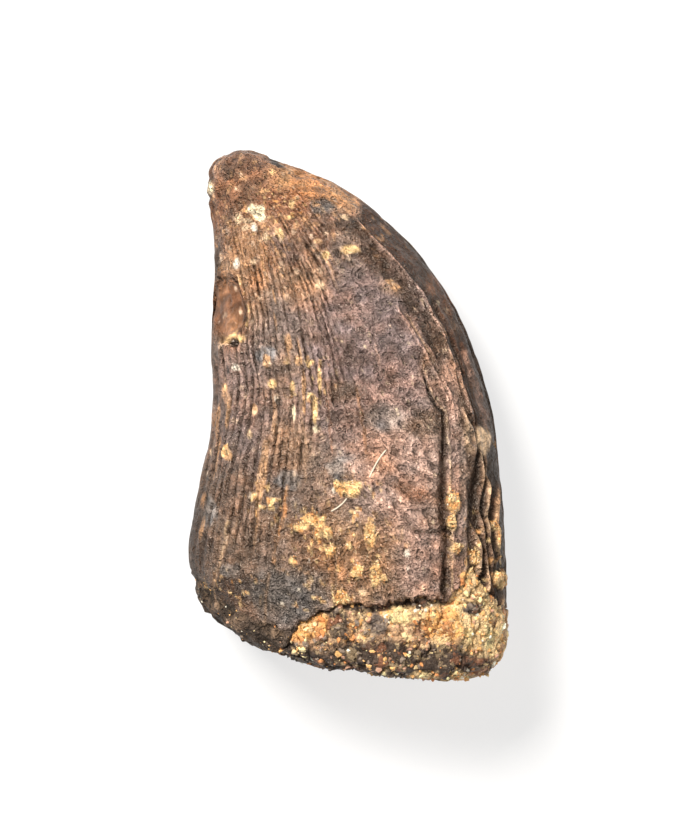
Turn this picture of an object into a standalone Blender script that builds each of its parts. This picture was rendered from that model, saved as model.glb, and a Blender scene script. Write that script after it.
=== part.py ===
"""A fossil tyrannosaur tooth lying on its side, with sandstone cemented to its broken base.

Two solids: the tooth itself, one stout recurved crown broken off above the root, and the sandstone
that fills the corner the break took away and closes the base.

+X points to the front (mesial) edge of the tooth, +Y from the broken base to the tip, and +Z up
from the surface that the tooth lies on. The origin is the middle of the footprint, at z = 0.
Lengths below are in millimetres, and become metres where a mesh is made.

Across the tooth, c runs from -1 on the back (distal) edge to +1 on the front edge. Along it,
t runs from 0 at the broken rim to TIP_T, where the rounded tip starts.
"""

from typing import NamedTuple

import bmesh
import bpy
import numpy as np

MM = 0.001

# The crown's outline and depth, from the broken rim to the tip.
CROWN_LENGTH = 45.0
CROWN_WIDTH = 27.1
BASE_THICKNESS = 17.0


class Station(NamedTuple):
    """One cross-section: both edges in the plane, and the heights of its two faces.

    The plane sizes are shares of CROWN_WIDTH and CROWN_LENGTH from the middle of the footprint,
    and the heights are shares of BASE_THICKNESS.
    """

    t: float
    back_x: float
    back_y: float
    front_x: float
    front_y: float
    under: float
    top: float


STATIONS = (
    Station(0.00, -0.484, -0.319, 0.490, -0.409, 0.020, 0.975),
    Station(0.10, -0.504, -0.249, 0.489, -0.302, -0.022, 1.000),
    Station(0.20, -0.472, -0.147, 0.482, -0.182, -0.020, 0.980),
    Station(0.30, -0.438, -0.053, 0.466, -0.053, 0.010, 0.935),
    Station(0.40, -0.424, 0.036, 0.431, 0.053, 0.040, 0.870),
    Station(0.50, -0.432, 0.120, 0.361, 0.170, 0.062, 0.795),
    Station(0.60, -0.429, 0.200, 0.260, 0.274, 0.072, 0.705),
    Station(0.70, -0.425, 0.276, 0.126, 0.363, 0.066, 0.610),
    Station(0.80, -0.429, 0.347, -0.018, 0.432, 0.030, 0.505),
    Station(0.90, -0.440, 0.408, -0.160, 0.466, -0.034, 0.422),
    Station(0.94, -0.440, 0.450, -0.252, 0.485, -0.050, 0.410),
)
TIP_T = STATIONS[-1].t
TIP_DEPTH = 1.3
TIP_FULLNESS = 2.0
# How far before its end the tip starts to round over, seen from the side.
TIP_DOME = 5.0

# How full the cross-section is: exponents of a superellipse.
FULL_FRONT = 2.8
FULL_BACK = 2.2
FULL_UNDER = 3.6

# The broken base: the rim sags below its chord, fades out up the crown, and rounds over.
RIM_SAG = 3.45
SAG_ENDS_T = 0.5
SAG_FULL_FRONT = 3.0
SAG_FULL_BACK = 2.05
RIM_RADIUS = 1.5
BACK_CORNER_CUT = 0.95
BACK_CORNER_POWER = 3.9

# Enamel relief.
WRINKLE_PITCH = 0.072
WRINKLE_DEPTH = 0.17
WRINKLES_FROM, WRINKLES_TO = -0.95, 0.06
FLUTE_PITCH = 0.052
FLUTE_DEPTH = 0.28
FLUTES_FROM, FLUTES_TO = 0.735, 0.97
COLUMNS_A_FURROW = 3
PLATE_EDGE = 0.655
PLATE_EDGE_DEPTH = 0.5
PLATE_STEP_DOWN = 0.25
PLATE_EDGE_ENDS_T = 0.345
CARINA_COLUMN = 0.86
CARINA_LINE = ((0.0, 0.86), (0.34, 0.88), (0.50, 0.84), (0.67, 0.70), (0.78, 0.70))
CARINA_HEIGHT = 0.34
CARINA_WIDTH = 0.022
CARINA_FROM_T, CARINA_TO_T = 0.30, 0.74
FRONT_STEP_DOWN = 0.30
BELLY_HOLLOW = 0.75
BELLY_HOLLOW_WIDTH = 0.36
UNDULATION = 0.17
UNDULATION_SIZE = 4.5
RIM_STEP_DOWN = 0.32
RIM_STEP_T = 0.05
END_ROUGHNESS = 0.45

# A flake lost from the back edge, below the tip: an oval scoop.
SCOOP_CENTRE = (-10.3, 8.4)
SCOOP_RADII = (1.9, 3.0)
SCOOP_DEPTH = 0.6
# A chip out of the front edge.
CHIP_CENTRE = (11.9, -2.4)
CHIP_RADII = (1.0, 1.6)
CHIP_DEPTH = 0.5

# The break that the sandstone fills, as (x, y) from the back corner to the front edge.
BREAK_LINE = (
    (-9.4, -24.5),
    (-5.6, -19.6),
    (-3.9, -17.2),
    (-0.3, -15.8),
    (4.3, -15.4),
    (8.4, -15.5),
    (9.8, -13.6),
    (10.8, -12.0),
    (12.0, -13.8),
    (15.5, -14.9),
)
BREAK_DROP_PER_MM = 0.12
BREAK_ROUGHNESS = 0.35
SAND_GAP = 0.34
SAND_RECESS = 0.6
SAND_RECESS_ENDS = 3.0
SAND_PROUD = 0.3
SAND_LUMP = 0.3
SAND_LUMP_SIZE = 2.3


def through(knots, values, at):
    """A smooth curve through the knots: cubic Hermite spans whose slopes are central differences."""
    knots = np.asarray(knots, float)
    values = np.asarray(values, float)
    slopes = np.gradient(values, knots, axis=0)
    span = np.clip(np.searchsorted(knots, at, side="right") - 1, 0, len(knots) - 2)
    width = knots[span + 1] - knots[span]
    s = ((at - knots[span]) / width)[..., None]
    width = width[..., None]
    start = (2 * s**3 - 3 * s**2 + 1) * values[span]
    end = (3 * s**2 - 2 * s**3) * values[span + 1]
    bend = (s**3 - 2 * s**2 + s) * slopes[span] + (s**3 - s**2) * slopes[span + 1]
    return start + end + bend * width


def ease(low, high, value):
    """0 below low and 1 above high, with a smooth step between them."""
    s = np.clip((value - low) / (high - low), 0, 1)
    return s * s * (3 - 2 * s)


def window(low, high, fade, value):
    """1 between low and high, and 0 outside them, fading over the given width."""
    return ease(low, low + fade, value) * (1 - ease(high - fade, high, value))


def lattice_value(cell, seed):
    """A repeatable value from -1 to 1 for each lattice cell."""
    mixed = np.sin(cell @ np.array([12.9898, 78.233, 37.719]) + seed * 4.137) * 43758.5453
    return 2 * (mixed - np.floor(mixed)) - 1


def lumps(points, size, seed):
    """Smooth noise from -1 to 1 whose lumps are about the given size across."""
    place = points / size
    cell = np.floor(place)
    s = place - cell
    s = s * s * (3 - 2 * s)
    total = np.zeros(points.shape[:-1])
    for corner in np.ndindex(2, 2, 2):
        share = np.prod(np.where(np.array(corner) == 1, s, 1 - s), axis=-1)
        total += share * lattice_value(cell + corner, seed)
    return total


def sections(t):
    """The stations' smooth values at each t, as a dictionary of arrays in millimetres."""
    table = np.array(STATIONS)
    width, length, thickness = CROWN_WIDTH, CROWN_LENGTH, BASE_THICKNESS
    sizes = table[:, 1:] * [width, length, width, length, thickness, thickness]
    found = through(table[:, 0], sizes, t)
    back, front = found[:, 0:2], found[:, 2:4]
    half = (front - back) / 2
    down = np.stack([half[:, 1], -half[:, 0]], axis=1)
    down /= np.linalg.norm(down, axis=1, keepdims=True)
    return {
        "mid": (back + front) / 2,
        "half": half,
        "down": down,
        "height": (found[:, 5] - found[:, 4]) / 2,
        "level": (found[:, 5] + found[:, 4]) / 2,
    }


def rows(crown_rows, end_rows, round_rows, tip_rows):
    """(t, shrink, outward) of each ring, from the middle of the broken end to the tip.

    Shrink is 1 on the crown. Outward is how far a ring is carried past the broken end, and it is
    negative where the rounded tip carries a ring the other way.
    """
    rim_height = sections(np.zeros(1))["height"][0]
    corner = np.linspace(np.pi / 2, 0, round_rows, endpoint=False)
    corner_shrink = 1 - RIM_RADIUS / rim_height * (1 - np.cos(corner))
    face_shrink = np.linspace(0, 1 - RIM_RADIUS / rim_height, end_rows, endpoint=False)
    tip = np.linspace(0, np.pi / 2, tip_rows + 1)[1:]
    tip_shrink = np.cos(tip) ** (2 / TIP_FULLNESS)
    tip_rise = np.sin(tip) ** (2 / TIP_FULLNESS)
    crown = np.linspace(0, TIP_T, crown_rows)
    face = [(0.0, k, RIM_RADIUS) for k in face_shrink]
    rounding = [(0.0, k, RIM_RADIUS * np.sin(a)) for k, a in zip(corner_shrink, corner)]
    sides = [(t, 1.0, 0.0) for t in crown]
    over = [(TIP_T, k, -TIP_DEPTH * rise) for k, rise in zip(tip_shrink, tip_rise)]
    return np.array(face + rounding + sides + over)


def carina_at(t):
    """The place across the tooth of the front cutting ridge."""
    line = np.array(CARINA_LINE)
    return np.interp(t, line[:, 0], line[:, 1])


def across(u, t):
    """c for each column u, bent so that the column CARINA_COLUMN follows the front ridge."""
    carina = carina_at(t)
    inner = PLATE_EDGE + (u - PLATE_EDGE) / (CARINA_COLUMN - PLATE_EDGE) * (carina - PLATE_EDGE)
    outer = carina + (u - CARINA_COLUMN) / (1 - CARINA_COLUMN) * (1 - carina)
    return np.where(u < PLATE_EDGE, u, np.where(u < CARINA_COLUMN, inner, outer))


def tooth_columns():
    """(u, side) of each column round the tooth: the upper face front to back, then the underside.

    COLUMNS_A_FURROW columns stand on each wrinkle and flute: its crest, its slope and its floor.
    """
    wrinkles = np.arange(WRINKLES_FROM, WRINKLES_TO, WRINKLE_PITCH / COLUMNS_A_FURROW)
    plate = np.array([0.10, 0.18, 0.27, 0.36, 0.45, 0.53, 0.59])
    edge = PLATE_EDGE + np.array([-0.035, -0.014, 0.0, 0.012, 0.040])
    flutes = np.arange(FLUTES_FROM, FLUTES_TO, FLUTE_PITCH / COLUMNS_A_FURROW)
    rounding = np.array([0.982, 0.995, 1.0])
    upper = np.concatenate([[-1.0, -0.985], wrinkles, plate, edge, flutes, rounding])[::-1]
    under = np.concatenate([[-0.99], np.linspace(-0.93, 0.95, 30), [0.992]])
    u = np.concatenate([upper, under])
    side = np.concatenate([np.ones(len(upper)), -np.ones(len(under))])
    return u, side


def even_columns(count):
    """(u, side) of columns spread evenly by angle round the section."""
    angle = np.linspace(0, 2 * np.pi, count, endpoint=False)
    return np.cos(angle), np.where(np.sin(angle) >= 0, 1.0, -1.0)


def fullness(c, side):
    """The superellipse exponent: fuller in front and underneath than at the back edge."""
    upper = np.where(c > 0, FULL_FRONT, FULL_BACK)
    return np.where(side > 0, upper, FULL_UNDER)


def bare_surface(rings, u, side):
    """The tooth's form with no relief, as an array of rings by columns, with its t and c.

    Each ring is a superellipse on the chord between the edges. The sag carries the middle of a
    ring towards the broken end, and the corner cut trims the end's back corner.
    """
    t, shrink, outward = (rings[:, i, None] for i in range(3))
    here = sections(rings[:, 0])
    c = across(u[None, :], t)
    n = fullness(c, side[None, :])
    rise = np.clip(1 - np.abs(c) ** n, 0, 1) ** (1 / n) * side
    placed = c * shrink
    bow = np.where(placed > 0, SAG_FULL_FRONT, SAG_FULL_BACK)
    sag = RIM_SAG * np.clip(1 - t / SAG_ENDS_T, 0, 1) ** 2
    sag = sag * np.clip(1 - np.abs(placed) ** bow, 0, 1) ** (1 / bow)
    trim = BACK_CORNER_CUT * np.clip(-placed, 0, 1) ** BACK_CORNER_POWER * np.maximum(outward, 0)
    drop = sag + outward - trim
    tip = dome(t, outward)
    flat = np.where(outward < 0, tip, tip * shrink)
    plane = (
        here["mid"][:, None, :]
        + here["half"][:, None, :] * placed[..., None]
        + here["down"][:, None, :] * drop[..., None]
    )
    z = here["level"][:, None] + rise * here["height"][:, None] * flat
    points = np.concatenate([plane, z[..., None]], axis=-1)
    return points, np.broadcast_to(t, c.shape), c, np.broadcast_to(side, c.shape)


def outward_normals(points):
    """Unit normals of a closed ring-by-column surface."""
    along = np.gradient(points, axis=0)
    around = np.roll(points, -1, axis=1) - np.roll(points, 1, axis=1)
    normal = np.cross(along, around)
    size = np.linalg.norm(normal, axis=-1, keepdims=True)
    normal = normal / np.maximum(size, 1e-9)
    middle = points.mean(axis=(0, 1))
    pole = size[..., 0] < 1e-6
    away = points - middle
    away /= np.linalg.norm(away, axis=-1, keepdims=True)
    return np.where(pole[..., None], away, normal)


def dome(t, outward):
    """The share of the thickness left near the tip: a quarter of an ellipse TIP_DOME long."""
    to_end = TIP_DEPTH + np.minimum(outward, 0) + (TIP_T - t) * CROWN_LENGTH
    return np.sqrt(1 - np.clip(1 - to_end / TIP_DOME, 0, 1) ** 2)


def oval(points, centre, radii):
    """1 at the centre of an oval on the upper face, falling to 0 at its rim."""
    away = (points[..., :2] - np.array(centre)) / np.array(radii)
    return np.clip(1 - (away**2).sum(axis=-1), 0, 1)


def furrows(c, start, pitch):
    """A row of furrows across the tooth: 1 on each crest and -1 on each floor, steeper in front."""
    turn = 2 * np.pi * (c - start) / pitch
    return np.cos(turn) + 0.25 * np.sin(2 * turn)


def enamel_relief(points, t, c, side):
    """How far the tooth's surface stands out from its bare form, in millimetres."""
    place = np.stack([c / WRINKLE_PITCH, t * 7, side], axis=-1)
    strength = 1 + 0.5 * lumps(place, 1.0, 21)
    wrinkled = window(WRINKLES_FROM - 0.02, WRINKLES_TO, 0.06, c) * window(0.0, 0.8, 0.25, t)
    crease = WRINKLE_DEPTH * furrows(c, WRINKLES_FROM, WRINKLE_PITCH) * strength
    wrinkles = crease * wrinkled

    fluted = window(FLUTES_FROM - 0.03, FLUTES_TO + 0.02, 0.03, c) * (1 - ease(0.3, 0.42, t))
    flutes = FLUTE_DEPTH * furrows(c, FLUTES_FROM, FLUTE_PITCH) * fluted

    beside = c - PLATE_EDGE
    plated = 1 - ease(PLATE_EDGE_ENDS_T, PLATE_EDGE_ENDS_T + 0.05, t)
    reach = np.where(beside < 0, 0.022, 0.009)
    edge = -PLATE_EDGE_DEPTH * np.exp(-((beside / reach) ** 2)) * plated
    edge = edge - PLATE_STEP_DOWN * ease(0.0, 0.03, beside) * plated

    off_ridge = c - carina_at(t)
    ridged = window(CARINA_FROM_T, CARINA_TO_T, 0.08, t)
    carina = CARINA_HEIGHT * np.exp(-((off_ridge / CARINA_WIDTH) ** 2)) * ridged
    front_step = -FRONT_STEP_DOWN * ease(0.0, 0.05, off_ridge) * ridged
    outline = 1 - ease(0.9, 1.0, c)

    chips = -SCOOP_DEPTH * ease(0.0, 0.7, oval(points, SCOOP_CENTRE, SCOOP_RADII))
    chips = chips - CHIP_DEPTH * ease(0.0, 0.6, oval(points, CHIP_CENTRE, CHIP_RADII))
    on_top = (wrinkles + flutes + edge + carina + front_step) * outline + chips

    hollow = np.exp(-(((c - 0.05) / BELLY_HOLLOW_WIDTH) ** 2)) * (1 - ease(0.3, 0.75, t))
    underneath = 0.7 * crease * window(-0.95, 0.9, 0.2, c) * window(0.0, 0.8, 0.1, t)
    underneath = (underneath - BELLY_HOLLOW * hollow) * (t > 0)

    swell = UNDULATION * lumps(points, UNDULATION_SIZE, 3)
    rim = -RIM_STEP_DOWN * (1 - ease(0.4 * RIM_STEP_T, RIM_STEP_T, t))
    rough = END_ROUGHNESS * lumps(points, 2.2, 9) * (t <= 0)
    return swell + rim + rough + np.where(side > 0, on_top, underneath)


def break_height(x):
    """The y of the break at each x, on the upper face."""
    line = np.array(BREAK_LINE)
    return np.interp(x, line[:, 0], line[:, 1])


def sand_relief(points, t, c, side):
    """How far the lumpy sandstone stands out from the tooth's bare form: set back at the break."""
    rough = lumps(points, SAND_LUMP_SIZE, 11) + 0.5 * lumps(points, SAND_LUMP_SIZE / 2, 17)
    below = break_height(points[..., 0]) - points[..., 1]
    recess = SAND_RECESS * (1 - ease(0.0, SAND_RECESS_ENDS, below))
    return SAND_PROUD - recess + SAND_LUMP * rough


def closed_body(name, rings, columns, relief):
    """A closed mesh object from rings of points, with the relief raised along the normals.

    Each end of the stack of rings is one point. Nothing reaches below z = 0, so what the object
    lies on leaves small true flats.
    """
    u, side = columns
    points, t, c, sides = bare_surface(rings, u, side)
    points = points + outward_normals(points) * relief(points, t, c, sides)[..., None]
    points[..., 2] = np.maximum(points[..., 2], 0.0)
    points *= MM
    bm = bmesh.new()
    start = bm.verts.new(points[0].mean(axis=0))
    loops = [[bm.verts.new(p) for p in ring] for ring in points[1:-1]]
    end = bm.verts.new(points[-1].mean(axis=0))
    count = len(u)
    for i in range(count):
        j = (i + 1) % count
        bm.faces.new((start, loops[0][j], loops[0][i]))
        bm.faces.new((end, loops[-1][i], loops[-1][j]))
        for lower, upper in zip(loops, loops[1:]):
            bm.faces.new((lower[i], lower[j], upper[j], upper[i]))
    bmesh.ops.recalc_face_normals(bm, faces=bm.faces)
    mesh = bpy.data.meshes.new(name)
    bm.to_mesh(mesh)
    bm.free()
    mesh.shade_smooth()
    body = bpy.data.objects.new(name, mesh)
    bpy.context.scene.collection.objects.link(body)
    return body


def break_block(name, lowered):
    """A cutter that fills everything below the break, which is lowered by the given distance.

    Its top is a sheet over x and z that follows BREAK_LINE, drops towards the underside and is
    rough. The sheet is extruded straight down past the tooth.
    """
    x = np.linspace(BREAK_LINE[0][0], BREAK_LINE[-1][0], 34)
    z = np.linspace(-2.0, BASE_THICKNESS + 2.0, 12)
    height = break_height(x)
    height = height - lowered * np.sqrt(1 + np.gradient(height, x) ** 2)
    grid_x, grid_z = np.meshgrid(x, z, indexing="ij")
    sheet = np.stack([grid_x, np.repeat(height[:, None], len(z), axis=1), grid_z], axis=-1)
    drop = BREAK_DROP_PER_MM * (BASE_THICKNESS - grid_z)
    sheet[..., 1] += BREAK_ROUGHNESS * lumps(sheet * [1, 0, 1], 2.6, 5) - drop
    floor_y = -CROWN_LENGTH * 0.6
    bm = bmesh.new()
    verts = [[bm.verts.new(p * MM) for p in column] for column in sheet]
    for left, right in zip(verts, verts[1:]):
        for i in range(len(z) - 1):
            bm.faces.new((left[i], left[i + 1], right[i + 1], right[i]))
    extruded = bmesh.ops.extrude_face_region(bm, geom=bm.faces[:])
    for v in extruded["geom"]:
        if isinstance(v, bmesh.types.BMVert):
            v.co.y = floor_y * MM
    bmesh.ops.recalc_face_normals(bm, faces=bm.faces)
    mesh = bpy.data.meshes.new(name)
    bm.to_mesh(mesh)
    bm.free()
    block = bpy.data.objects.new(name, mesh)
    block.hide_render = True
    block.display_type = "WIRE"
    bpy.context.scene.collection.objects.link(block)
    return block


def cut(body, block, operation):
    """Cuts the body with the block, or keeps only what they share."""
    boolean = body.modifiers.new("break", "BOOLEAN")
    boolean.operation = operation
    boolean.object = block
    boolean.solver = "EXACT"


def paint(body, name, colour, roughness):
    """Gives the body one plain material."""
    material = bpy.data.materials.new(name)
    material.use_nodes = True
    shader = material.node_tree.nodes["Principled BSDF"]
    shader.inputs["Base Color"].default_value = (*colour, 1.0)
    shader.inputs["Roughness"].default_value = roughness
    shader.inputs["Metallic"].default_value = 0.0
    body.data.materials.append(material)


def tooth():
    """The crown in one piece: dark enamel, its ridges and furrows, and the break at the base."""
    rings = rows(crown_rows=29, end_rows=4, round_rows=3, tip_rows=5)
    body = closed_body("tooth", rings, tooth_columns(), enamel_relief)
    cut(body, break_block("break_cutter", 0.0), "DIFFERENCE")
    paint(body, "fossil_enamel", (0.19, 0.12, 0.085), 0.45)


def sandstone():
    """The sandstone that fills the broken corner and closes the base."""
    rings = rows(crown_rows=26, end_rows=7, round_rows=3, tip_rows=3)
    body = closed_body("sandstone", rings, even_columns(64), sand_relief)
    cut(body, break_block("sandstone_cutter", SAND_GAP), "INTERSECT")
    paint(body, "sandstone", (0.56, 0.36, 0.18), 0.9)


def main():
    for leftover in list(bpy.data.objects):
        bpy.data.objects.remove(leftover)
    tooth()
    sandstone()


main()
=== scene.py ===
"""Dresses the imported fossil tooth: dense enamel, the sandstone at its base, loose grains and lint.

The shapes are worked out in millimetres in the model's own frame, and become metres in the mesh.
Across the tooth, c runs from -1 on the back edge to +1 on the front edge. Along it, t runs from 0
at the broken rim to TIP_T, where the rounded tip starts.
"""

import logging  # noqa: E402
import math  # noqa: E402
from collections.abc import Iterable  # noqa: E402
from dataclasses import dataclass, field  # noqa: E402
from enum import Enum, IntEnum  # noqa: E402
from functools import cached_property  # noqa: E402

import bpy  # noqa: E402
import numpy as np  # noqa: E402
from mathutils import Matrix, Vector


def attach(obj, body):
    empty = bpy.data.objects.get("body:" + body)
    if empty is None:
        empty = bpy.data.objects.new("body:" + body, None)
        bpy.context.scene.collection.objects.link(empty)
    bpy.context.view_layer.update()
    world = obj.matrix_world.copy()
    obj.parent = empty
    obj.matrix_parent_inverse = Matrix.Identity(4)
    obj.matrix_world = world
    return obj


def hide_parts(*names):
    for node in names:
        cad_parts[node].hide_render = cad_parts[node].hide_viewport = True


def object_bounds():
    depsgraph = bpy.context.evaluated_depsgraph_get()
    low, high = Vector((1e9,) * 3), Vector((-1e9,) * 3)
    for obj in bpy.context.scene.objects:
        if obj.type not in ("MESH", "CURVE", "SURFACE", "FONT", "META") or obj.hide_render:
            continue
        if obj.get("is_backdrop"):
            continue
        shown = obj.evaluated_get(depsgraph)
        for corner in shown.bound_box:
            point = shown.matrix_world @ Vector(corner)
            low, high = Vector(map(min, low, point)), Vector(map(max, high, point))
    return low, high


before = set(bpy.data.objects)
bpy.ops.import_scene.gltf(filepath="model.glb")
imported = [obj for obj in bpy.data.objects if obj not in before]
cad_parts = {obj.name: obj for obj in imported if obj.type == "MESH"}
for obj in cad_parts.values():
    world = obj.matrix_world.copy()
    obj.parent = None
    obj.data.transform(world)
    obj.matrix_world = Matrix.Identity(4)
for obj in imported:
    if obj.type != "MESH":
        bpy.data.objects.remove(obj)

log = logging.getLogger("fossil_tooth")

MM = 0.001
Array = np.ndarray
Rgb = tuple[float, float, float]
Socket = bpy.types.NodeSocket
Inputs = dict[str | int, Socket | float | tuple[float, ...]]
Rings = list[tuple[float, float, float]]

# (t, back x, back y, front x, front y, underside z, upper z) of each cross-section. The plane
# sizes are shares of CROWN_WIDTH and CROWN_LENGTH, and the heights of BASE_THICKNESS.
CROWN_LENGTH = 45.0
CROWN_WIDTH = 27.1
BASE_THICKNESS = 17.0
STATIONS = (
    (0.00, -0.484, -0.319, 0.490, -0.409, 0.020, 0.975),
    (0.10, -0.504, -0.249, 0.489, -0.302, -0.022, 1.000),
    (0.20, -0.472, -0.147, 0.482, -0.182, -0.020, 0.980),
    (0.30, -0.438, -0.053, 0.466, -0.053, 0.010, 0.935),
    (0.40, -0.424, 0.036, 0.431, 0.053, 0.040, 0.870),
    (0.50, -0.432, 0.120, 0.361, 0.170, 0.062, 0.795),
    (0.60, -0.429, 0.200, 0.260, 0.274, 0.072, 0.705),
    (0.70, -0.425, 0.276, 0.126, 0.363, 0.066, 0.610),
    (0.80, -0.429, 0.347, -0.018, 0.432, 0.030, 0.505),
    (0.90, -0.440, 0.408, -0.160, 0.466, -0.034, 0.422),
    (0.94, -0.440, 0.450, -0.252, 0.485, -0.050, 0.410),
)
TIP_T = STATIONS[-1][0]
FAR_APART = 50.0  # A noise's size along an axis on which it is to stay the same.


def srgb(red: float, green: float, blue: float) -> Rgb:
    """A colour as it looks on a screen, from 0 to 255, as the linear values that a shader takes."""
    shares = [value / 255 for value in (red, green, blue)]
    return tuple(s / 12.92 if s <= 0.04045 else ((s + 0.055) / 1.055) ** 2.4 for s in shares)


def ease(low: float, high: float, value: Array) -> Array:
    """A smooth step from 0 at low to 1 at high, 3s^2 - 2s^3 of the share s. It falls if low > high."""
    s = np.clip((value - low) / (high - low), 0, 1)
    return s * s * (3 - 2 * s)


def window(low: float, high: float, fade: float, value: Array) -> Array:
    """A smooth bump: 1 between low and high, fading to 0 within fade of each of them."""
    return ease(low, low + fade, value) * (1 - ease(high - fade, high, value))


def mix(start: Array, end: Array, share: Array) -> Array:
    """A straight blend: start where share is 0, end where it is 1."""
    return start + (end - start) * share


def lay(colour: Array, paint: Rgb | Array, share: Array) -> Array:
    """A paint blended over a colour, as strongly as the share says at each place."""
    return mix(colour, np.array(paint), share[..., None])


def bell(away: Array, width: float) -> Array:
    """A Gaussian: 1 where away is 0, and 1/e where it is the width."""
    return np.exp(-((away / width) ** 2))


def through(knots: Array, values: Array, at: Array) -> Array:
    """A smooth curve through the knots: cubic Hermite spans whose slopes are central differences.

    Args:
        knots: The rising places of the knots.
        values: A row of values for each knot.
        at: Where the curve is wanted.

    Returns:
        A row of values for each place.
    """
    slopes = np.gradient(values, knots, axis=0)
    span = np.clip(np.searchsorted(knots, at, side="right") - 1, 0, len(knots) - 2)
    width = knots[span + 1] - knots[span]
    s = ((at - knots[span]) / width)[..., None]
    start = (2 * s**3 - 3 * s**2 + 1) * values[span]
    end = (3 * s**2 - 2 * s**3) * values[span + 1]
    bend = (s**3 - 2 * s**2 + s) * slopes[span] + (s**3 - s**2) * slopes[span + 1]
    return start + end + bend * width[..., None]


def lumps(points: Array, size: float | Array, seed: int) -> Array:
    """Smooth noise from -1 to 1: repeatable values on a lattice, blended by a smooth step.

    Args:
        points: Places, with x, y and z last.
        size: How far apart the lattice's values stand, alike or for each of x, y and z.
        seed: Which noise.

    Returns:
        One value for each place.
    """
    place = points / size
    cell = np.floor(place)
    s = place - cell
    s = s * s * (3 - 2 * s)
    total = np.zeros(points.shape[:-1])
    for corner in np.ndindex(2, 2, 2):
        share = np.prod(np.where(np.array(corner) == 1, s, 1 - s), axis=-1)
        mixed = np.sin((cell + corner) @ np.array([12.9898, 78.233, 37.719]) + seed * 4.137)
        mixed = mixed * 43758.5453
        total += share * (2 * (mixed - np.floor(mixed)) - 1)
    return total


def rubble(points: Array, size: float | Array, seed: int, layers: int = 3) -> Array:
    """Fractal noise: layers of lumps, each half the size and a bit over half the height.

    Args:
        points: Places, with x, y and z last.
        size: How far apart the largest lumps stand.
        seed: Which noise.
        layers: How many sizes of lumps it has.

    Returns:
        One value for each place.
    """
    total = np.zeros(points.shape[:-1])
    for layer in range(layers):
        total += 0.55**layer * lumps(points, np.asarray(size) / 2**layer, seed + 7 * layer)
    return total / 1.6


@dataclass(frozen=True)
class Line:
    """An open line of straight spans on the upper face, in millimetres."""

    points: tuple[tuple[float, float], ...]

    def distance(self, x: Array, y: Array) -> Array:
        """The distance to the nearest span: to the foot of the perpendicular, kept on the span.

        Args:
            x: Places across the face.
            y: Places along it.

        Returns:
            The distance at each place.
        """
        nearest = np.full(x.shape, np.inf)
        for (ax, ay), (bx, by) in zip(self.points, self.points[1:]):
            length = (bx - ax) ** 2 + (by - ay) ** 2
            s = np.clip(((x - ax) * (bx - ax) + (y - ay) * (by - ay)) / length, 0, 1)
            nearest = np.minimum(nearest, np.hypot(x - ax - s * (bx - ax), y - ay - s * (by - ay)))
        return nearest

    def x_at(self, y: Array) -> Array:
        """The line's x at each y, for a line that runs along the tooth."""
        rising = sorted(self.points, key=lambda point: point[1])
        return np.interp(y, [p[1] for p in rising], [p[0] for p in rising])

    def reach(self, y: Array, fade: float) -> Array:
        """1 beside the line, and 0 past its two ends."""
        ends = [p[1] for p in self.points]
        return window(min(ends) - fade, max(ends) + fade, fade, y)


@dataclass(frozen=True)
class Patch:
    """A ragged oval on the upper face, in millimetres, turned anticlockwise by turn degrees."""

    x: float
    y: float
    wide: float
    tall: float
    turn: float = 0.0
    ragged: float = 0.35

    def is_broad(self) -> bool:
        """Whether it is large enough for a soft rim with large lumps."""
        return max(self.wide, self.tall) > 1.3

    def cover(self, x: Array, y: Array, rough: Array | float = 0.0, soft: float = 0.5) -> Array:
        """1 inside and 0 outside: a smooth step on the distance in radii, shifted by the noise.

        Args:
            x: Places across the face.
            y: Places along it.
            rough: Noise from -1 to 1 that makes the rim ragged, or 0 for a clean one.
            soft: How wide the rim fades, in radii.

        Returns:
            The cover at each place.
        """
        angle = math.radians(self.turn)
        across = (x - self.x) * math.cos(angle) + (y - self.y) * math.sin(angle)
        along = (y - self.y) * math.cos(angle) - (x - self.x) * math.sin(angle)
        radii = np.hypot(across / self.wide, along / self.tall) + self.ragged * rough
        return 1 - ease(1 - soft / 2, 1 + soft / 2, radii)


@dataclass
class Surface:
    """A grid of rings and columns on the tooth's form, with its place and outward normal."""

    points: Array
    t: Array
    c: Array
    side: Array
    normal: Array

    @property
    def x(self) -> Array:
        """Each point's x, across the tooth."""
        return self.points[..., 0]

    @property
    def y(self) -> Array:
        """Each point's y, along the tooth."""
        return self.points[..., 1]

    @property
    def z(self) -> Array:
        """Each point's height over the ground."""
        return self.points[..., 2]

    @property
    def upper(self) -> Array:
        """True on the upper face."""
        return self.side > 0

    @cached_property
    def flow(self) -> Array:
        """Millimetres across and along the crown, for marks that run with its growth."""
        return np.stack([self.c * 13, self.t * 48, self.side * 4], axis=-1)

    def lumps(self, size: float | Array, seed: int) -> Array:
        """Smooth noise at the surface's points."""
        return lumps(self.points, size, seed)

    def rubble(self, size: float, seed: int) -> Array:
        """Fractal noise at the surface's points."""
        return rubble(self.points, size, seed)

    def grown(self, across: float, along: float, seed: int) -> Array:
        """Smooth noise that runs with the growth, of a size across the crown and one along it."""
        return lumps(self.flow, np.array([across, along, FAR_APART]), seed)

    def raised(self, relief: Array) -> "Surface":
        """The surface with its points moved along their normals, and kept on or above the ground.

        Args:
            relief: How far each point moves outwards.

        Returns:
            The new surface.
        """
        moved = self.points + self.normal * relief[..., None]
        moved[..., 2] = np.maximum(moved[..., 2], 0.0)
        return Surface(moved, self.t, self.c, self.side, outward_normals(moved))


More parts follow.
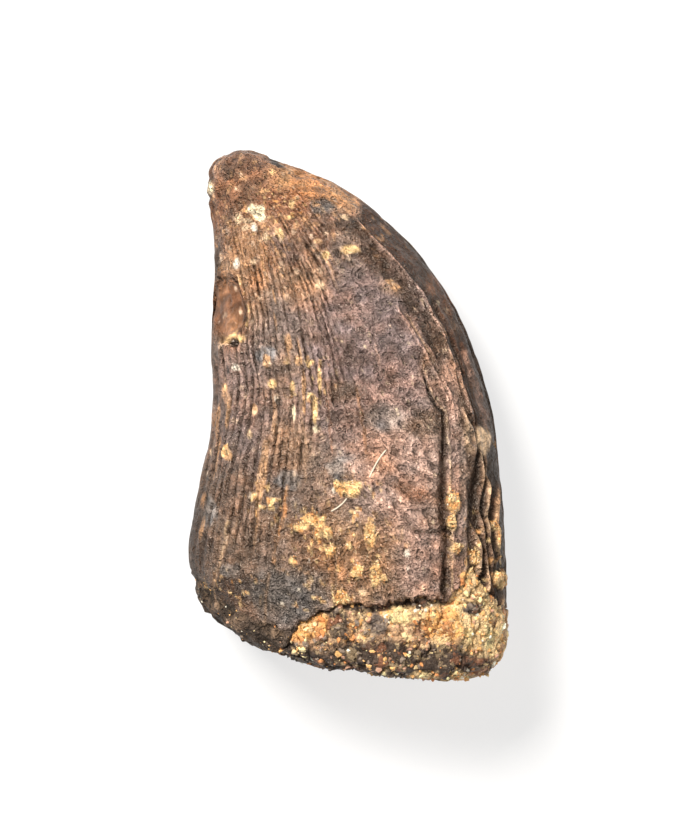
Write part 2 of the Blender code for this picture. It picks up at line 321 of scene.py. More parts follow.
@dataclass(frozen=True)
class CrownForm:
    """The bare form of the crown, before any relief: one smooth recurved cone, broken at the base."""

    full_front: float = 2.8
    full_back: float = 2.2
    full_under: float = 3.6
    rim_sag: float = 3.45
    sag_ends_t: float = 0.5
    sag_full_front: float = 3.0
    sag_full_back: float = 2.05
    rim_radius: float = 1.5
    back_corner_cut: float = 0.95
    back_corner_power: float = 3.9
    tip_depth: float = 1.3
    tip_fullness: float = 2.0
    tip_dome: float = 5.0
    height_to_half_width: float = 0.66

    def sections(self, t: Array) -> dict[str, Array]:
        """The stations' smooth values at each t: middle, half chord, heights and the way down.

        Args:
            t: Places along the crown.

        Returns:
            The values at each place, by name.
        """
        table = np.array(STATIONS)
        plane = [CROWN_WIDTH, CROWN_LENGTH]
        found = through(table[:, 0], table[:, 1:] * (plane * 2 + [BASE_THICKNESS] * 2), t)
        half = (found[:, 2:4] - found[:, 0:2]) / 2
        down = np.stack([half[:, 1], -half[:, 0]], axis=1)
        return {
            "mid": (found[:, 2:4] + found[:, 0:2]) / 2,
            "half": half,
            "down": down / np.linalg.norm(down, axis=1, keepdims=True),
            "height": (found[:, 5] - found[:, 4]) / 2,
            "level": (found[:, 5] + found[:, 4]) / 2,
        }

    def base_rings(self, face: int, corner: int) -> Rings:
        """(t, shrink, outward) of the rings on the broken end: a flat face, then a round corner.

        Args:
            face: How many rings the flat face has.
            corner: How many rings its round corner has.

        Returns:
            The rings, from the middle of the face outwards.
        """
        height = self.sections(np.zeros(1))["height"][0]
        angles = np.linspace(np.pi / 2, 0, corner, endpoint=False)
        flat = np.linspace(0, 1 - self.rim_radius / height, face, endpoint=False)
        rings = [(0.0, k, self.rim_radius) for k in flat]
        for angle in angles:
            shrink = 1 - self.rim_radius / height * (1 - math.cos(angle))
            rings.append((0.0, shrink, self.rim_radius * math.sin(angle)))
        return rings

    def tip_rings(self, count: int) -> Rings:
        """(t, shrink, outward) of the rings over the tip: a quarter of a superellipse.

        Args:
            count: How many rings there are.

        Returns:
            The rings, up to the very end.
        """
        angles = np.linspace(0, np.pi / 2, count + 1)[1:]
        power = 2 / self.tip_fullness
        shrinks = [*(math.cos(a) ** power for a in angles[:-1]), 0.0]
        return [(TIP_T, k, -self.tip_depth * math.sin(a) ** power) for k, a in zip(shrinks, angles)]

    def columns(self, top: int, under: int) -> tuple[Array, Array]:
        """(c, side) of each column, spread evenly along the section at mid height, top and under.

        Args:
            top: How many columns the upper face has.
            under: How many the underside has.

        Returns:
            Every column's c, and its side.
        """
        angle = np.linspace(0, np.pi, 4001)
        found = []
        for full, count, side in ((self.full_front, top, 1.0), (self.full_under, under, -1.0)):
            c = np.sign(np.cos(angle)) * np.abs(np.cos(angle)) ** (2 / full)
            rise = np.sin(angle) ** (2 / full) * self.height_to_half_width
            walked = np.concatenate([[0], np.cumsum(np.hypot(np.diff(c), np.diff(rise)))])
            places = np.interp(np.linspace(0, walked[-1], count, endpoint=False), walked, c)
            found.append((places if side > 0 else -places, np.full(count, side)))
        return np.concatenate([f[0] for f in found]), np.concatenate([f[1] for f in found])

    def dome(self, t: Array, outward: Array) -> Array:
        """The share of the thickness left near the tip: a quarter of an ellipse tip_dome long."""
        to_end = self.tip_depth + np.minimum(outward, 0) + (TIP_T - t) * CROWN_LENGTH
        return np.sqrt(1 - np.clip(1 - to_end / self.tip_dome, 0, 1) ** 2)

    def surface(self, rings: Rings, c: Array, side: Array) -> Surface:
        """The form on a grid.

        Each ring is a superellipse on the chord between the two edges: half the chord times c in
        the plane, and the side's height times (1 - |c|^n)^(1/n) up or down. A sag that fades with
        t carries the middle of a ring down, and the corner cut trims the end's back corner.

        Args:
            rings: (t, shrink, outward) of each ring.
            c: The place of each column across the tooth.
            side: +1 for a column on the upper face, and -1 underneath.

        Returns:
            The surface, with its outward normals.
        """
        table = np.array(rings)
        t, shrink, outward = (table[:, i, None] for i in range(3))
        here = self.sections(table[:, 0])
        full = np.where(side > 0, np.where(c > 0, self.full_front, self.full_back), self.full_under)
        rise = np.clip(1 - np.abs(c) ** full, 0, 1) ** (1 / full) * side
        placed = c[None, :] * shrink
        bow = np.where(placed > 0, self.sag_full_front, self.sag_full_back)
        sag = self.rim_sag * np.clip(1 - t / self.sag_ends_t, 0, 1) ** 2
        sag = sag * np.clip(1 - np.abs(placed) ** bow, 0, 1) ** (1 / bow)
        corner = np.clip(-placed, 0, 1) ** self.back_corner_power
        trim = self.back_corner_cut * corner * np.maximum(outward, 0)
        plane = (
            here["mid"][:, None, :]
            + here["half"][:, None, :] * placed[..., None]
            + here["down"][:, None, :] * (sag + outward - trim)[..., None]
        )
        tip = self.dome(t, outward)
        flat = np.where(outward < 0, tip, tip * shrink)
        z = here["level"][:, None] + rise[None, :] * here["height"][:, None] * flat
        points = np.concatenate([plane, z[..., None]], axis=-1)
        shape = points.shape[:2]
        spread = [np.broadcast_to(a, shape) for a in (t, c[None, :], side[None, :])]
        return Surface(points, *spread, outward_normals(points))


def outward_normals(points: Array) -> Array:
    """Unit normals of a closed grid: the cross product of its slopes along and around.

    Args:
        points: Rings of points.

    Returns:
        The normal at each point.
    """
    along = np.gradient(points, axis=0)
    around = np.roll(points, -1, axis=1) - np.roll(points, 1, axis=1)
    normal = np.cross(along, around)
    size = np.linalg.norm(normal, axis=-1, keepdims=True)
    away = points - points.mean(axis=(0, 1))
    away /= np.linalg.norm(away, axis=-1, keepdims=True)
    return np.where(size < 1e-9, away, normal / np.maximum(size, 1e-9))


def link(name: str, mesh: bpy.types.Mesh) -> bpy.types.Object:
    """Puts a mesh into the scene as an object at the origin.

    Args:
        name: The object's name.
        mesh: Its mesh.

    Returns:
        The object.
    """
    piece = bpy.data.objects.new(name, mesh)
    bpy.context.scene.collection.objects.link(piece)
    return piece


def closed_grid(name: str, points: Array, values: dict[str, Array]) -> bpy.types.Object:
    """A closed smooth object from a grid whose first and last rings are each one point.

    Args:
        name: The object's name.
        points: Rings of points in millimetres.
        values: Named values for each point, one number or a colour of three.

    Returns:
        The object, with the values as attributes.
    """
    rows, columns = points.shape[:2]
    inner = np.arange((rows - 2) * columns).reshape(rows - 2, columns) + 1
    last = (rows - 2) * columns + 1
    right = np.roll(inner, -1, axis=1)
    quads = np.stack([inner[:-1], inner[1:], right[1:], right[:-1]], axis=-1).reshape(-1, 4)
    start = np.stack([np.zeros(columns, int), inner[0], right[0]], axis=1)
    end = np.stack([inner[-1], np.full(columns, last), right[-1]], axis=1)

    def flat(grid: Array) -> Array:
        """A grid of values as one list for the mesh's points."""
        middle = grid[1:-1].reshape(-1, *grid.shape[2:])
        return np.concatenate([grid[:1].mean(axis=1), middle, grid[-1:].mean(axis=1)])

    mesh = bpy.data.meshes.new(name)
    faces = quads.tolist() + start.tolist() + end.tolist()
    mesh.from_pydata((flat(points) * MM).tolist(), [], faces)
    for key, grid in values.items():
        write_attribute(mesh, key, flat(grid))
    mesh.shade_smooth()
    mesh.update()
    return link(name, mesh)


def write_attribute(mesh: bpy.types.Mesh, name: str, values: Array) -> None:
    """Stores one number, one colour or, as "flow", one place for each point of a mesh.

    Args:
        mesh: The mesh.
        name: The attribute's name.
        values: A number, or a row of three, for each point.
    """
    if values.ndim == 1:
        kind, key = "FLOAT", "value"
    elif name == "flow":
        kind, key = "FLOAT_VECTOR", "vector"
    else:
        kind, key = "FLOAT_COLOR", "color"
        values = np.concatenate([values, np.ones((len(values), 1))], axis=1)
    layer = mesh.attributes.new(name, kind, "POINT")
    layer.data.foreach_set(key, values.astype(np.float32).ravel())


@dataclass(frozen=True)
class Break:
    """The broken corner of the base that the sandstone fills, as a line on the upper face."""

    line: tuple[tuple[float, float], ...] = (
        (-9.4, -24.5), (-5.6, -19.6), (-4.9, -18.4), (-4.1, -17.25), (-2.0, -16.2),
        (-0.3, -15.7), (1.4, -15.9), (4.3, -15.55), (6.4, -15.05), (8.4, -15.4),
        (9.6, -13.6), (10.7, -12.0), (11.4, -13.6), (12.5, -15.4), (15.5, -14.9),
    )
    drop_per_mm: float = 0.12
    rough: float = 0.5
    size: float = 0.9

    def below(self, points: Array) -> Array:
        """How far a place lies past the break: the line's y, made ragged and lowered, less its own.

        Args:
            points: Places, with x, y and z last.

        Returns:
            The way past the break in millimetres, less than 0 before it.
        """
        height = np.interp(points[..., 0], [p[0] for p in self.line], [p[1] for p in self.line])
        ragged = self.rough * (rubble(points, self.size, 5) + 0.4 * lumps(points, 0.42, 6))
        return height + ragged - self.drop_per_mm * (BASE_THICKNESS - points[..., 2]) - points[..., 1]


def worn_corner(points: Array) -> Array:
    """How far the back corner of the base is worn down, in millimetres: smooth steps in x and y."""
    x, y = points[..., 0], points[..., 1]
    return 0.15 * (1 - ease(-8.5, -3.5, x)) * (1 - ease(-17.6, -14.2, y - 0.35 * (x + 11)))


@dataclass(frozen=True)
class Ridge:
    """A thin crest along a line, with the face beyond it set lower."""

    line: Line
    height: float
    width: float
    step: float
    fade: float = 1.2

    def relief(self, x: Array, y: Array) -> Array:
        """A crest, a bell of the distance from the line, less a smooth step beyond it.

        Args:
            x: Places across the face.
            y: Places along it.

        Returns:
            The height at each place.
        """
        reach = self.line.reach(y, self.fade)
        away = self.line.distance(x, y)
        crest = self.height * bell(away, self.width)
        beyond = ease(0.0, 0.5, (x - self.line.x_at(y)) * 0.8)
        return (crest - self.step * beyond) * reach


CARINA = Line(
    (
        (0.76, 16.31), (2.12, 14.7), (3.22, 13.69), (4.32, 12.5), (5.25, 11.31), (6.27, 10.13),
        (7.03, 8.6), (7.88, 7.25), (8.31, 6.31), (9.07, 4.7), (9.75, 2.92), (10.25, 1.23), (10.59, -0.47),
    )
)
SECOND_RIDGE = Line(((3.98, 9.03), (4.92, 7.58), (5.93, 5.89), (6.95, 4.19), (7.54, 3.35), (8.31, 1.23)))
THIRD_RIDGE = Line(((6.4, 6.1), (7.2, 4.9), (8.0, 3.4), (8.7, 1.4), (9.0, -0.6)))
PLATE_EDGE = Line(
    (
        (6.02, 4.45), (6.36, 3.43), (6.86, 1.48), (7.37, 0.72), (7.97, 0.3), (8.14, -0.89), (8.31, -3.86),
        (8.31, -6.4), (8.22, -7.92), (8.56, -9.79), (8.56, -12.33), (8.39, -15.04),
    )
)
PLATE_GROOVE = Line(((7.35, 0.4), (7.7, -0.9), (7.85, -3.86), (7.85, -7.9), (8.1, -12.33), (7.95, -15.04)))
PLATE_LIP = Line(((6.3, 4.2), (6.62, 3.2), (7.05, 1.5), (7.6, 0.85), (8.2, 0.3), (8.4, -0.9), (8.5, -3.9)))
BESIDE_PLATE = Line(((8.73, 1.23), (8.98, -1.31), (9.07, -7.25), (9.15, -11.48), (9.07, -14.87)))
PLATE_CRACK = Line(((5.34, -9.62), (6.86, -9.87), (8.39, -9.53)))
ENAMEL_RIM = Line(((-13.6, -12.7), (-12.1, -14.0), (-10.7, -15.6), (-7.9, -17.1), (-5.0, -17.7)))
# Fine open cracks in the enamel.
HAIRLINES = (
    Line(((-9.41, -8.94), (-10.25, -10.21), (-10.85, -12.33), (-11.27, -14.03), (-11.44, -15.72))),
    Line(((-6.69, -13.35), (-6.95, -15.3), (-7.12, -17.25))),
    Line(((-0.76, -7.67), (-0.93, -10.64), (-1.1, -14.45))),
    Line(((-4.2, 1.9), (-4.0, -0.6), (-3.6, -3.2), (-3.7, -5.6))),
    Line(((4.83, 8.43), (5.93, 6.74), (6.69, 5.47))),
)
SCOOP = Patch(-10.3, 8.9, 1.4, 2.6, ragged=0.24)
SCOOP_PIT = Patch(-9.8, 6.1, 0.46, 0.4, ragged=0.2)
CHIP = Patch(11.6, -2.1, 0.75, 1.35, 12, 0.1)
TIP_SHOULDER = Patch(-6.1, 21.2, 1.5, 1.1, -25, 0.1)
TIP_BROW = Patch(-10.4, 22.2, 1.9, 1.3, 15, 0.1)
NODULE = Patch(-12.0, 19.35, 0.42, 0.6, 0, 0.15)
# Sand cemented to the enamel in patches.
OCHRE = tuple(
    Patch(x, y, wide, tall, *(turned or (0, 0.6)))
    for x, y, wide, tall, *turned in (
        (0.17, -6.14, 0.76, 0.76), (-0.85, -6.06, 0.34, 0.51), (-2.88, -8.86, 1.02, 0.68),
        (-3.98, -9.36, 0.59, 0.34), (-2.54, -9.79, 0.34, 0.76), (-1.53, -11.4, 0.34, 0.51),
        (1.69, -10.04, 0.42, 0.85), (2.29, -13.52, 0.68, 0.93), (0.85, -13.18, 0.51, 0.59),
        (-0.76, -15.4, 0.59, 0.59), (-10.34, -3.18, 0.34, 0.42), (8.9, -7.5, 0.51, 0.85, 0, 0.5),
        (8.73, -8.94, 0.34, 0.51, 0, 0.5), (9.07, -11.31, 0.42, 0.34), (10.59, -12.16, 0.34, 0.68),
        (12.37, -9.28, 0.17, 0.51), (12.63, -10.64, 0.17, 1.02), (12.63, -13.94, 0.42, 0.76),
        (-1.61, -9.87, 0.42, 0.42), (-4.58, -12.33, 0.34, 0.25), (0.08, -11.06, 0.25, 0.34),
    )
)
# Where specks of the same sand are strewn.
DUSTED = (
    Patch(-0.6, -10.6, 4.2, 3.6), Patch(0.4, -6.6, 2.2, 1.4), Patch(-9.6, -14.6, 2.2, 1.5),
    Patch(-1.5, -15.6, 3.4, 0.9), Patch(10.8, -11.6, 2.2, 3.0), Patch(-3.4, 3.2, 1.8, 2.2),
    Patch(-6.3, 17.0, 2.6, 2.0), Patch(-6.6, -7.2, 1.9, 1.8),
)


@dataclass(frozen=True)
class Relief:
    """Everything that stands out of the crown's bare form, or is cut into it, in millimetres."""

    gap: Break = Break()
    carina: Ridge = Ridge(CARINA, 0.17, 0.11, 0.3)
    second: Ridge = Ridge(SECOND_RIDGE, 0.2, 0.12, 0.14)
    third: Ridge = Ridge(THIRD_RIDGE, 0.15, 0.1, 0.1, 0.6)
    ridged_t: tuple[float, ...] = (0.08, 0.28, 0.42, 0.6, 0.85)
    ridged_to_c: tuple[float, ...] = (-0.5, -0.3, 0.02, 0.12, 0.6)
    striae_pitch: float = 0.051
    striae_depth: float = 0.15
    broad_depth: float = 0.1
    first_flute_c: float = 0.704
    flute_pitch: float = 0.06
    flute_depth: float = 0.6
    plate_depth: float = 0.55
    shoulder_y: tuple[float, ...] = (-16.0, -6.0, -3.0, -1.0, 1.0, 4.4)
    shoulder_width: tuple[float, ...] = (1.2, 1.1, 0.8, 0.42, 0.2, 0.16)
    band_drop: float = 0.22
    lip_height: float = 0.16
    peel_height: float = 0.095
    slant_height: float = 0.045
    buried: float = 1.3

    def grooves(self, phase: Array, width: float) -> Array:
        """1 on the floor of each groove: a bell of the way from the middle of its phase."""
        return bell(phase - np.floor(phase) - 0.5, width)

    def phase(self, form: Surface) -> Array:
        """A count of the growth grooves across the crown: c over the pitch, bent a little by noise."""
        bend = 0.8 * form.grown(3.4, 11.0, 31) + 0.26 * form.grown(1.3, 3.4, 32)
        return form.c / self.striae_pitch + bend

    def ridged(self, form: Surface) -> Array:
        """How strongly each place shows the growth grooves, from 0 to 1.

        Args:
            form: The bare surface.

        Returns:
            The share at each place.
        """
        limit = np.interp(form.t, self.ridged_t, self.ridged_to_c)
        top = 1 - ease(limit - 0.14, limit + 0.08, form.c)
        worn = 1 - 0.7 * ease(0.64, 0.82, form.t)
        return np.where(form.upper, top, 0.6) * window(0.05, 0.93, 0.14, form.t) * worn

    def striae(self, form: Surface) -> Array:
        """Long grooves down the crown between wide crests; each groove's depth comes and goes.

        Args:
            form: The bare surface.

        Returns:
            The height at each place.
        """
        phase = self.phase(form)
        deep = np.clip(0.75 + 1.1 * form.grown(0.8, 4.5, 21), 0.1, 1.6)
        short = np.clip(0.7 + 1.3 * form.grown(0.9, 1.5, 36), 0.1, 1.5)
        deep = mix(deep, deep * short, window(0.45, 0.9, 0.15, form.t) * ease(-0.6, -0.2, form.c))
        main = -self.striae_depth * self.grooves(phase, 0.17) * deep
        broad = np.clip(0.6 + form.grown(1.6, 6.0, 35), 0, 1.4)
        wide = -self.broad_depth * self.grooves(phase / 3.1 + 0.2, 0.22) * broad
        knots = 0.07 * form.grown(0.7, 1.5, 33)
        return (main + wide + knots) * self.ridged(form)

    def ribs(self, form: Surface) -> tuple[Array, Array]:
        """The wavy ribs along the front edge near the base.

        Args:
            form: The bare surface.

        Returns:
            The rib's crest, from 0 in a valley to 1, and how strongly each place shows the ribs.
        """
        bend = 0.9 * form.grown(1.4, 3.6, 41) + 0.36 * form.grown(0.8, 1.5, 44)
        phase = (form.c - self.first_flute_c) / self.flute_pitch + bend
        broken = np.clip(0.75 + 0.9 * form.grown(0.9, 2.6, 42), 0.1, 1.3)
        crest = (0.5 - 0.5 * np.cos(2 * np.pi * phase)) ** 1.4 * broken
        lower = window(0.755, 1.2, 0.05, form.c) * (1 - ease(0.30, 0.40, form.t))
        upper = window(0.80, 1.03, 0.03, form.c) * window(0.28, 0.62, 0.08, form.t)
        return crest, np.maximum(lower, 0.3 * upper) * form.upper

    def flutes(self, form: Surface) -> Array:
        """The ribs' height, with knots along their crests.

        Args:
            form: The bare surface.

        Returns:
            The height at each place.
        """
        crest, shown = self.ribs(form)
        knots = 0.22 * form.grown(0.6, 0.9, 43)
        return (-self.flute_depth * (1 - crest) + knots) * shown

    def plate(self, form: Surface) -> Array:
        """The edge of the raised plate: its shoulder falls into a groove, and a thin lip follows.

        Args:
            form: The bare surface.

        Returns:
            The height at each place.
        """
        x, y = form.x, form.y
        away = x - PLATE_EDGE.x_at(y)
        reach = window(-16.5, 4.0, 0.9, y)
        wide = np.interp(y, self.shoulder_y, self.shoulder_width)
        deep = self.plate_depth * np.interp(y, [-2.0, 0.5, 4.4], [1.0, 0.8, 0.5])
        shoulder = -deep * ease(-wide, -0.15 * wide, away) * (1 - ease(-0.12, 0.16, away))
        lip = self.lip_height * bell(away - 0.24, 0.11)
        band = -self.band_drop * ease(-0.1, 0.25, away) * (1 - ease(1.0, 2.2, away))
        crack = -0.3 * bell(PLATE_CRACK.distance(x, y + 0.15 * form.lumps(0.7, 45)), 0.13)
        edge = 0.16 * bell(PLATE_CRACK.distance(x, y - 0.3), 0.18)
        return (shoulder + lip + band) * reach + crack + edge

    def peel(self, form: Surface) -> Array:
        """Crumpled skin: folded noise, 1 - 2|n|, in two sizes, stronger on the middle of the face.

        Args:
            form: The bare surface.

        Returns:
            The height at each place.
        """
        folded = 1 - 2.2 * np.abs(form.lumps(np.array([1.1, 1.3, 1.3]), 51))
        finer = form.lumps(np.array([0.55, 0.75, 0.75]), 52)
        coarse = 1.6 * form.lumps(2.4, 53)
        middle = window(-0.35, 0.8, 0.3, form.c) * window(0.3, 0.86, 0.14, form.t)
        patchy = 0.55 + 0.45 * form.grown(3.0, 4.0, 54)
        return self.peel_height * (folded + 0.7 * finer + 0.9 * coarse) * (0.35 + 0.65 * middle) * patchy

    def slanted(self, form: Surface) -> Array:
        """Where the plate's oblique wrinkles run, from 0 to 1."""
        return window(0.0, 0.68, 0.14, form.c) * window(-16.0, 3.5, 3.0, form.y) * form.upper

    def slanting(self, form: Surface) -> Array:
        """Oblique wrinkles on the plate: noise drawn out along one slanting direction.

        Args:
            form: The bare surface.

        Returns:
            The height at each place.
        """
        x, y = form.x, form.y
        turned = np.stack([0.82 * x + 0.57 * y, 0.82 * y - 0.57 * x, form.side * 9], axis=-1)
        drawn = lumps(turned, np.array([0.5, 1.9, FAR_APART]), 61)
        drawn = drawn + 0.5 * lumps(turned, np.array([0.3, 1.0, FAR_APART]), 62)
        return self.slant_height * drawn * self.slanted(form)

    def pitted(self, form: Surface) -> Array:
        """The worn tip: knobbly, with small round pits where the noise is highest.

        Args:
            form: The bare surface.

        Returns:
            The height at each place.
        """
        worn = ease(0.78, 0.88, form.t)
        pits = ease(0.35, 0.7, form.lumps(0.85, 72))
        return (0.2 * form.rubble(1.2, 71) - 0.2 * pits) * worn

    def losses(self, form: Surface) -> Array:
        """Flakes and chips lost from the edges: smooth hollows inside their patches.

        Args:
            form: The bare surface.

        Returns:
            The height at each place.
        """
        x, y = form.x, form.y
        rough = form.lumps(0.9, 81)
        scoop = SCOOP.cover(x, y, rough, 0.55)
        total = -0.42 * scoop - 0.3 * SCOOP_PIT.cover(x, y, rough, 0.9)
        total = total - 0.24 * CHIP.cover(x, y, rough, 1.2)
        rim = 0.12 * bell(scoop - 0.25, 0.2) * (x > -10.4)
        gained = 0.08 * TIP_SHOULDER.cover(x, y, rough, 1.2) + 0.32 * NODULE.cover(x, y, rough, 0.8)
        gained = gained + 0.3 * TIP_BROW.cover(x, y, rough, 1.2)
        return (total + rim * (scoop > 0.02)) * form.upper + gained

    def bare(self, form: Surface) -> Array:
        """Where the enamel is gone along the base: 1 past its rim, whose line is ragged.

        Args:
            form: The bare surface.

        Returns:
            The share at each place.
        """
        points = form.points
        line = np.array(ENAMEL_RIM.points)
        rim_y = np.interp(points[..., 0], line[:, 0], line[:, 1])
        return ease(0.0, 0.35, rim_y + 0.5 * rubble(points, 1.4, 91) - points[..., 1])

    def base(self, form: Surface) -> Array:
        """The broken base: rough where it is bare, and sunk where the sandstone lies.

        Args:
            form: The bare surface.

        Returns:
            The height at each place.
        """
        points = form.points
        bare = self.bare(form)
        broken = bare * (-0.15 + 0.6 * rubble(points, 1.8, 92) + 0.2 * rubble(points, 0.8, 93))
        sunk = -self.buried * ease(0.0, 0.3, self.gap.below(points))
        return broken + sunk - worn_corner(points)

    def underneath(self, form: Surface) -> Array:
        """The hollow along the middle of the underside, which fades towards the tip."""
        hollow = bell(form.c - 0.05, 0.36) * (1 - ease(0.3, 0.75, form.t))
        return -0.75 * hollow * (form.side < 0) * (form.t > 0)

    def ochre(self, form: Surface) -> Array:
        """How much cemented sand covers each place on the upper face, from 0 to 1.

        Args:
            form: The bare surface.

        Returns:
            The share at each place.
        """
        rough = form.lumps(0.6, 95) + 0.5 * form.lumps(0.3, 96)
        covers = [patch.cover(form.x, form.y, rough, 0.35) for patch in OCHRE]
        return np.max(covers, axis=0) * (form.normal[..., 2] > 0)

    def dusted(self, form: Surface) -> Array:
        """Where loose specks of sand stick to the enamel round the cemented patches, from 0 to 1.

        Args:
            form: The bare surface.

        Returns:
            The share at each place.
        """
        rough = form.rubble(1.2, 94)
        covers = [patch.cover(form.x, form.y, rough, 1.0) for patch in DUSTED]
        return np.max(covers, axis=0) * (form.normal[..., 2] > 0)

    def hairlines(self, form: Surface) -> Array:
        """Fine cracks: shallow grooves along their lines.

        Args:
            form: The bare surface.

        Returns:
            The share at each place.
        """
        wavy = form.x + 0.12 * form.lumps(0.9, 97)
        cracks = [bell(line.distance(wavy, form.y), 0.1) for line in HAIRLINES]
        return np.max(cracks, axis=0) * (form.normal[..., 2] > 0)

    def height(self, form: Surface) -> Array:
        """The sum of every mark, with the marks of growth faded inside the scoop and at the outline.

        Args:
            form: The bare surface.

        Returns:
            The height at each place.
        """
        x, y = form.x, form.y
        rough = form.lumps(0.9, 81)
        lost = np.maximum(0.9 * SCOOP.cover(x, y, rough, 0.5), CHIP.cover(x, y, rough, 0.9))
        smooth = 1 - lost * form.upper
        outline = 1 - 0.5 * ease(0.95, 1.0, np.abs(form.c))
        growth = (self.striae(form) + self.flutes(form) + self.peel(form)) * smooth * outline
        bent = x + 0.16 * form.lumps(1.1, 46)
        ridges = self.carina.relief(x, y) + self.second.relief(bent, y) + self.third.relief(bent, y)
        ridges = ridges + self.plate(form)
        upper_only = (ridges + self.slanting(form)) * form.upper * outline
        ochre = self.ochre(form)
        cemented = ochre * (0.16 + 0.08 * form.lumps(0.5, 98))
        swell = 0.17 * form.lumps(4.5, 3) + 0.05 * form.lumps(0.9, 99)
        marks = growth + upper_only + self.pitted(form)
        return (
            swell + marks * (1 - 0.8 * ochre) + cemented + self.losses(form)
            + self.base(form) + self.underneath(form) - 0.1 * self.hairlines(form)
        )


def blurred(values: Array, rows: int, columns: int) -> Array:
    """A box average over a closed grid, wrapped round the columns and held at the end rows.

    Args:
        values: One value for each point.
        rows: How many rings it reaches each way.
        columns: How many columns it reaches each way.

    Returns:
        The averages.
    """
    total = sum(np.roll(values, k, axis=1) for k in range(-columns, columns + 1)) / (2 * columns + 1)
    held = np.pad(total, ((rows, rows), (0, 0)), mode="edge")
    return sum(held[k : k + len(values)] for k in range(2 * rows + 1)) / (2 * rows + 1)


class Stain(Enum):
    """The named colours that the enamel is painted with, as linear values."""

    SOOT = srgb(50, 40, 34)
    UMBER = srgb(86, 65, 52)
    BROWN = srgb(124, 98, 79)
    RUST = srgb(154, 108, 80)
    COCOA = srgb(147, 122, 114)
    TAN = srgb(180, 136, 102)
    AMBER = srgb(206, 152, 106)
    ROSE = srgb(188, 152, 134)
    SLATE = srgb(120, 111, 105)
    # A pale grey; most of the broad patches that use it are a painted sheen.
    ASH = srgb(156, 149, 144)
    BUFF = srgb(214, 178, 142)
    SAND = srgb(240, 194, 132)
    CREAM = srgb(252, 234, 196)
    CHALK = srgb(232, 220, 204)


@dataclass(frozen=True)
class Tint:
    """A colour laid on the upper face inside a ragged oval, as strongly as given."""

    where: Patch
    colour: Stain
    strength: float

    def laid_over(self, colour: Array, form: Surface, rough: Array, soft: float) -> Array:
        """The tint blended over a colour, inside its patch."""
        share = self.where.cover(form.x, form.y, rough, soft) * self.strength
        return lay(colour, self.colour.value, share)


@dataclass(frozen=True)
class Stroke:
    """A colour laid along a line, fading over its width."""

    line: Line
    width: float
    colour: Stain
    strength: float


# The enamel's broad colours, each laid over those before it. The pale grey patches among them are mostly a
# painted sheen.
BROAD = tuple(
    Tint(Patch(*place), Stain[name], strength)
    for name, strength, *place in (
        ("RUST", 0.9, -7.37, 17.75, 6.78, 5.25), ("BROWN", 0.5, -9.66, 19.28, 1.69, 2.54),
        ("AMBER", 0.8, -3.14, 19.45, 4.07, 1.53, -25), ("RUST", 0.7, -5.51, 17.84, 1.86, 1.19),
        ("SLATE", 0.85, -2.29, 17.5, 1.19, 0.68), ("COCOA", 0.85, 1.95, 7.16, 6.1, 6.36),
        ("TAN", 0.75, -9.41, 10.97, 2.03, 4.92), ("TAN", 0.7, -5.42, 12.92, 3.81, 2.2, -50),
        ("COCOA", 0.6, -5.17, 13.94, 2.03, 0.93, -50), ("UMBER", 0.8, 0.51, 15.81, 2.03, 0.93, -30),
        ("SOOT", 1, -6.27, 21.31, 0.76, 0.34, -25), ("UMBER", 0.85, -11.19, 12.92, 0.34, 1.86),
        ("COCOA", 0.6, -9.24, -0.47, 3.22, 7.63), ("TAN", 0.6, -5.0, -2.5, 2.37, 2.03),
        ("ASH", 0.6, -6.86, 4.96, 0.85, 0.68), ("BROWN", 0.7, -9.66, -8.94, 3.9, 5.25),
        ("ASH", 0.65, -11.95, -8.09, 0.76, 1.27), ("UMBER", 0.8, -12.9, -11.6, 1.3, 4.6),
        ("UMBER", 0.85, -10.76, -14.87, 3.56, 1.69), ("ASH", 0.5, -10.0, -13.0, 1.2, 0.6),
        ("COCOA", 0.7, 1.1, 1.06, 5.08, 4.24), ("BROWN", 0.7, -0.59, 1.91, 1.53, 1.02),
        ("ASH", 0.7, -0.51, -4.36, 1.1, 1.1), ("ASH", 0.6, -5.0, -5.55, 0.93, 0.85),
        ("ROSE", 0.85, 4.32, -4.87, 3.9, 4.41), ("BROWN", 0.75, 6.86, -0.81, 2.2, 1.1, 8),
        ("ASH", 0.6, 3.05, -0.47, 1.69, 1.1), ("RUST", 0.7, 5.34, -6.48, 2.03, 0.59, -20),
        ("TAN", 0.8, -0.34, -12.33, 4.41, 3.56), ("ROSE", 0.9, 6.36, -11.99, 2.29, 3.05),
        ("SLATE", 0.85, -5.0, -15.04, 3.05, 2.2), ("TAN", 0.5, 3.81, 10.64, 1.36, 0.85, -20),
        ("UMBER", 0.8, 2.12, 12.92, 1.86, 0.93, -40), ("BROWN", 0.85, 7.54, 5.89, 0.76, 2.37, -32),
        ("ROSE", 0.6, 8.56, 3.09, 0.85, 1.86, -20), ("UMBER", 0.8, 4.75, 16.06, 2.37, 0.76, -42),
        ("RUST", 1, -10.25, 8.77, 1.45, 2.75, 0, 0.12), ("UMBER", 0.8, -9.75, 7.67, 0.93, 0.76),
    )
)
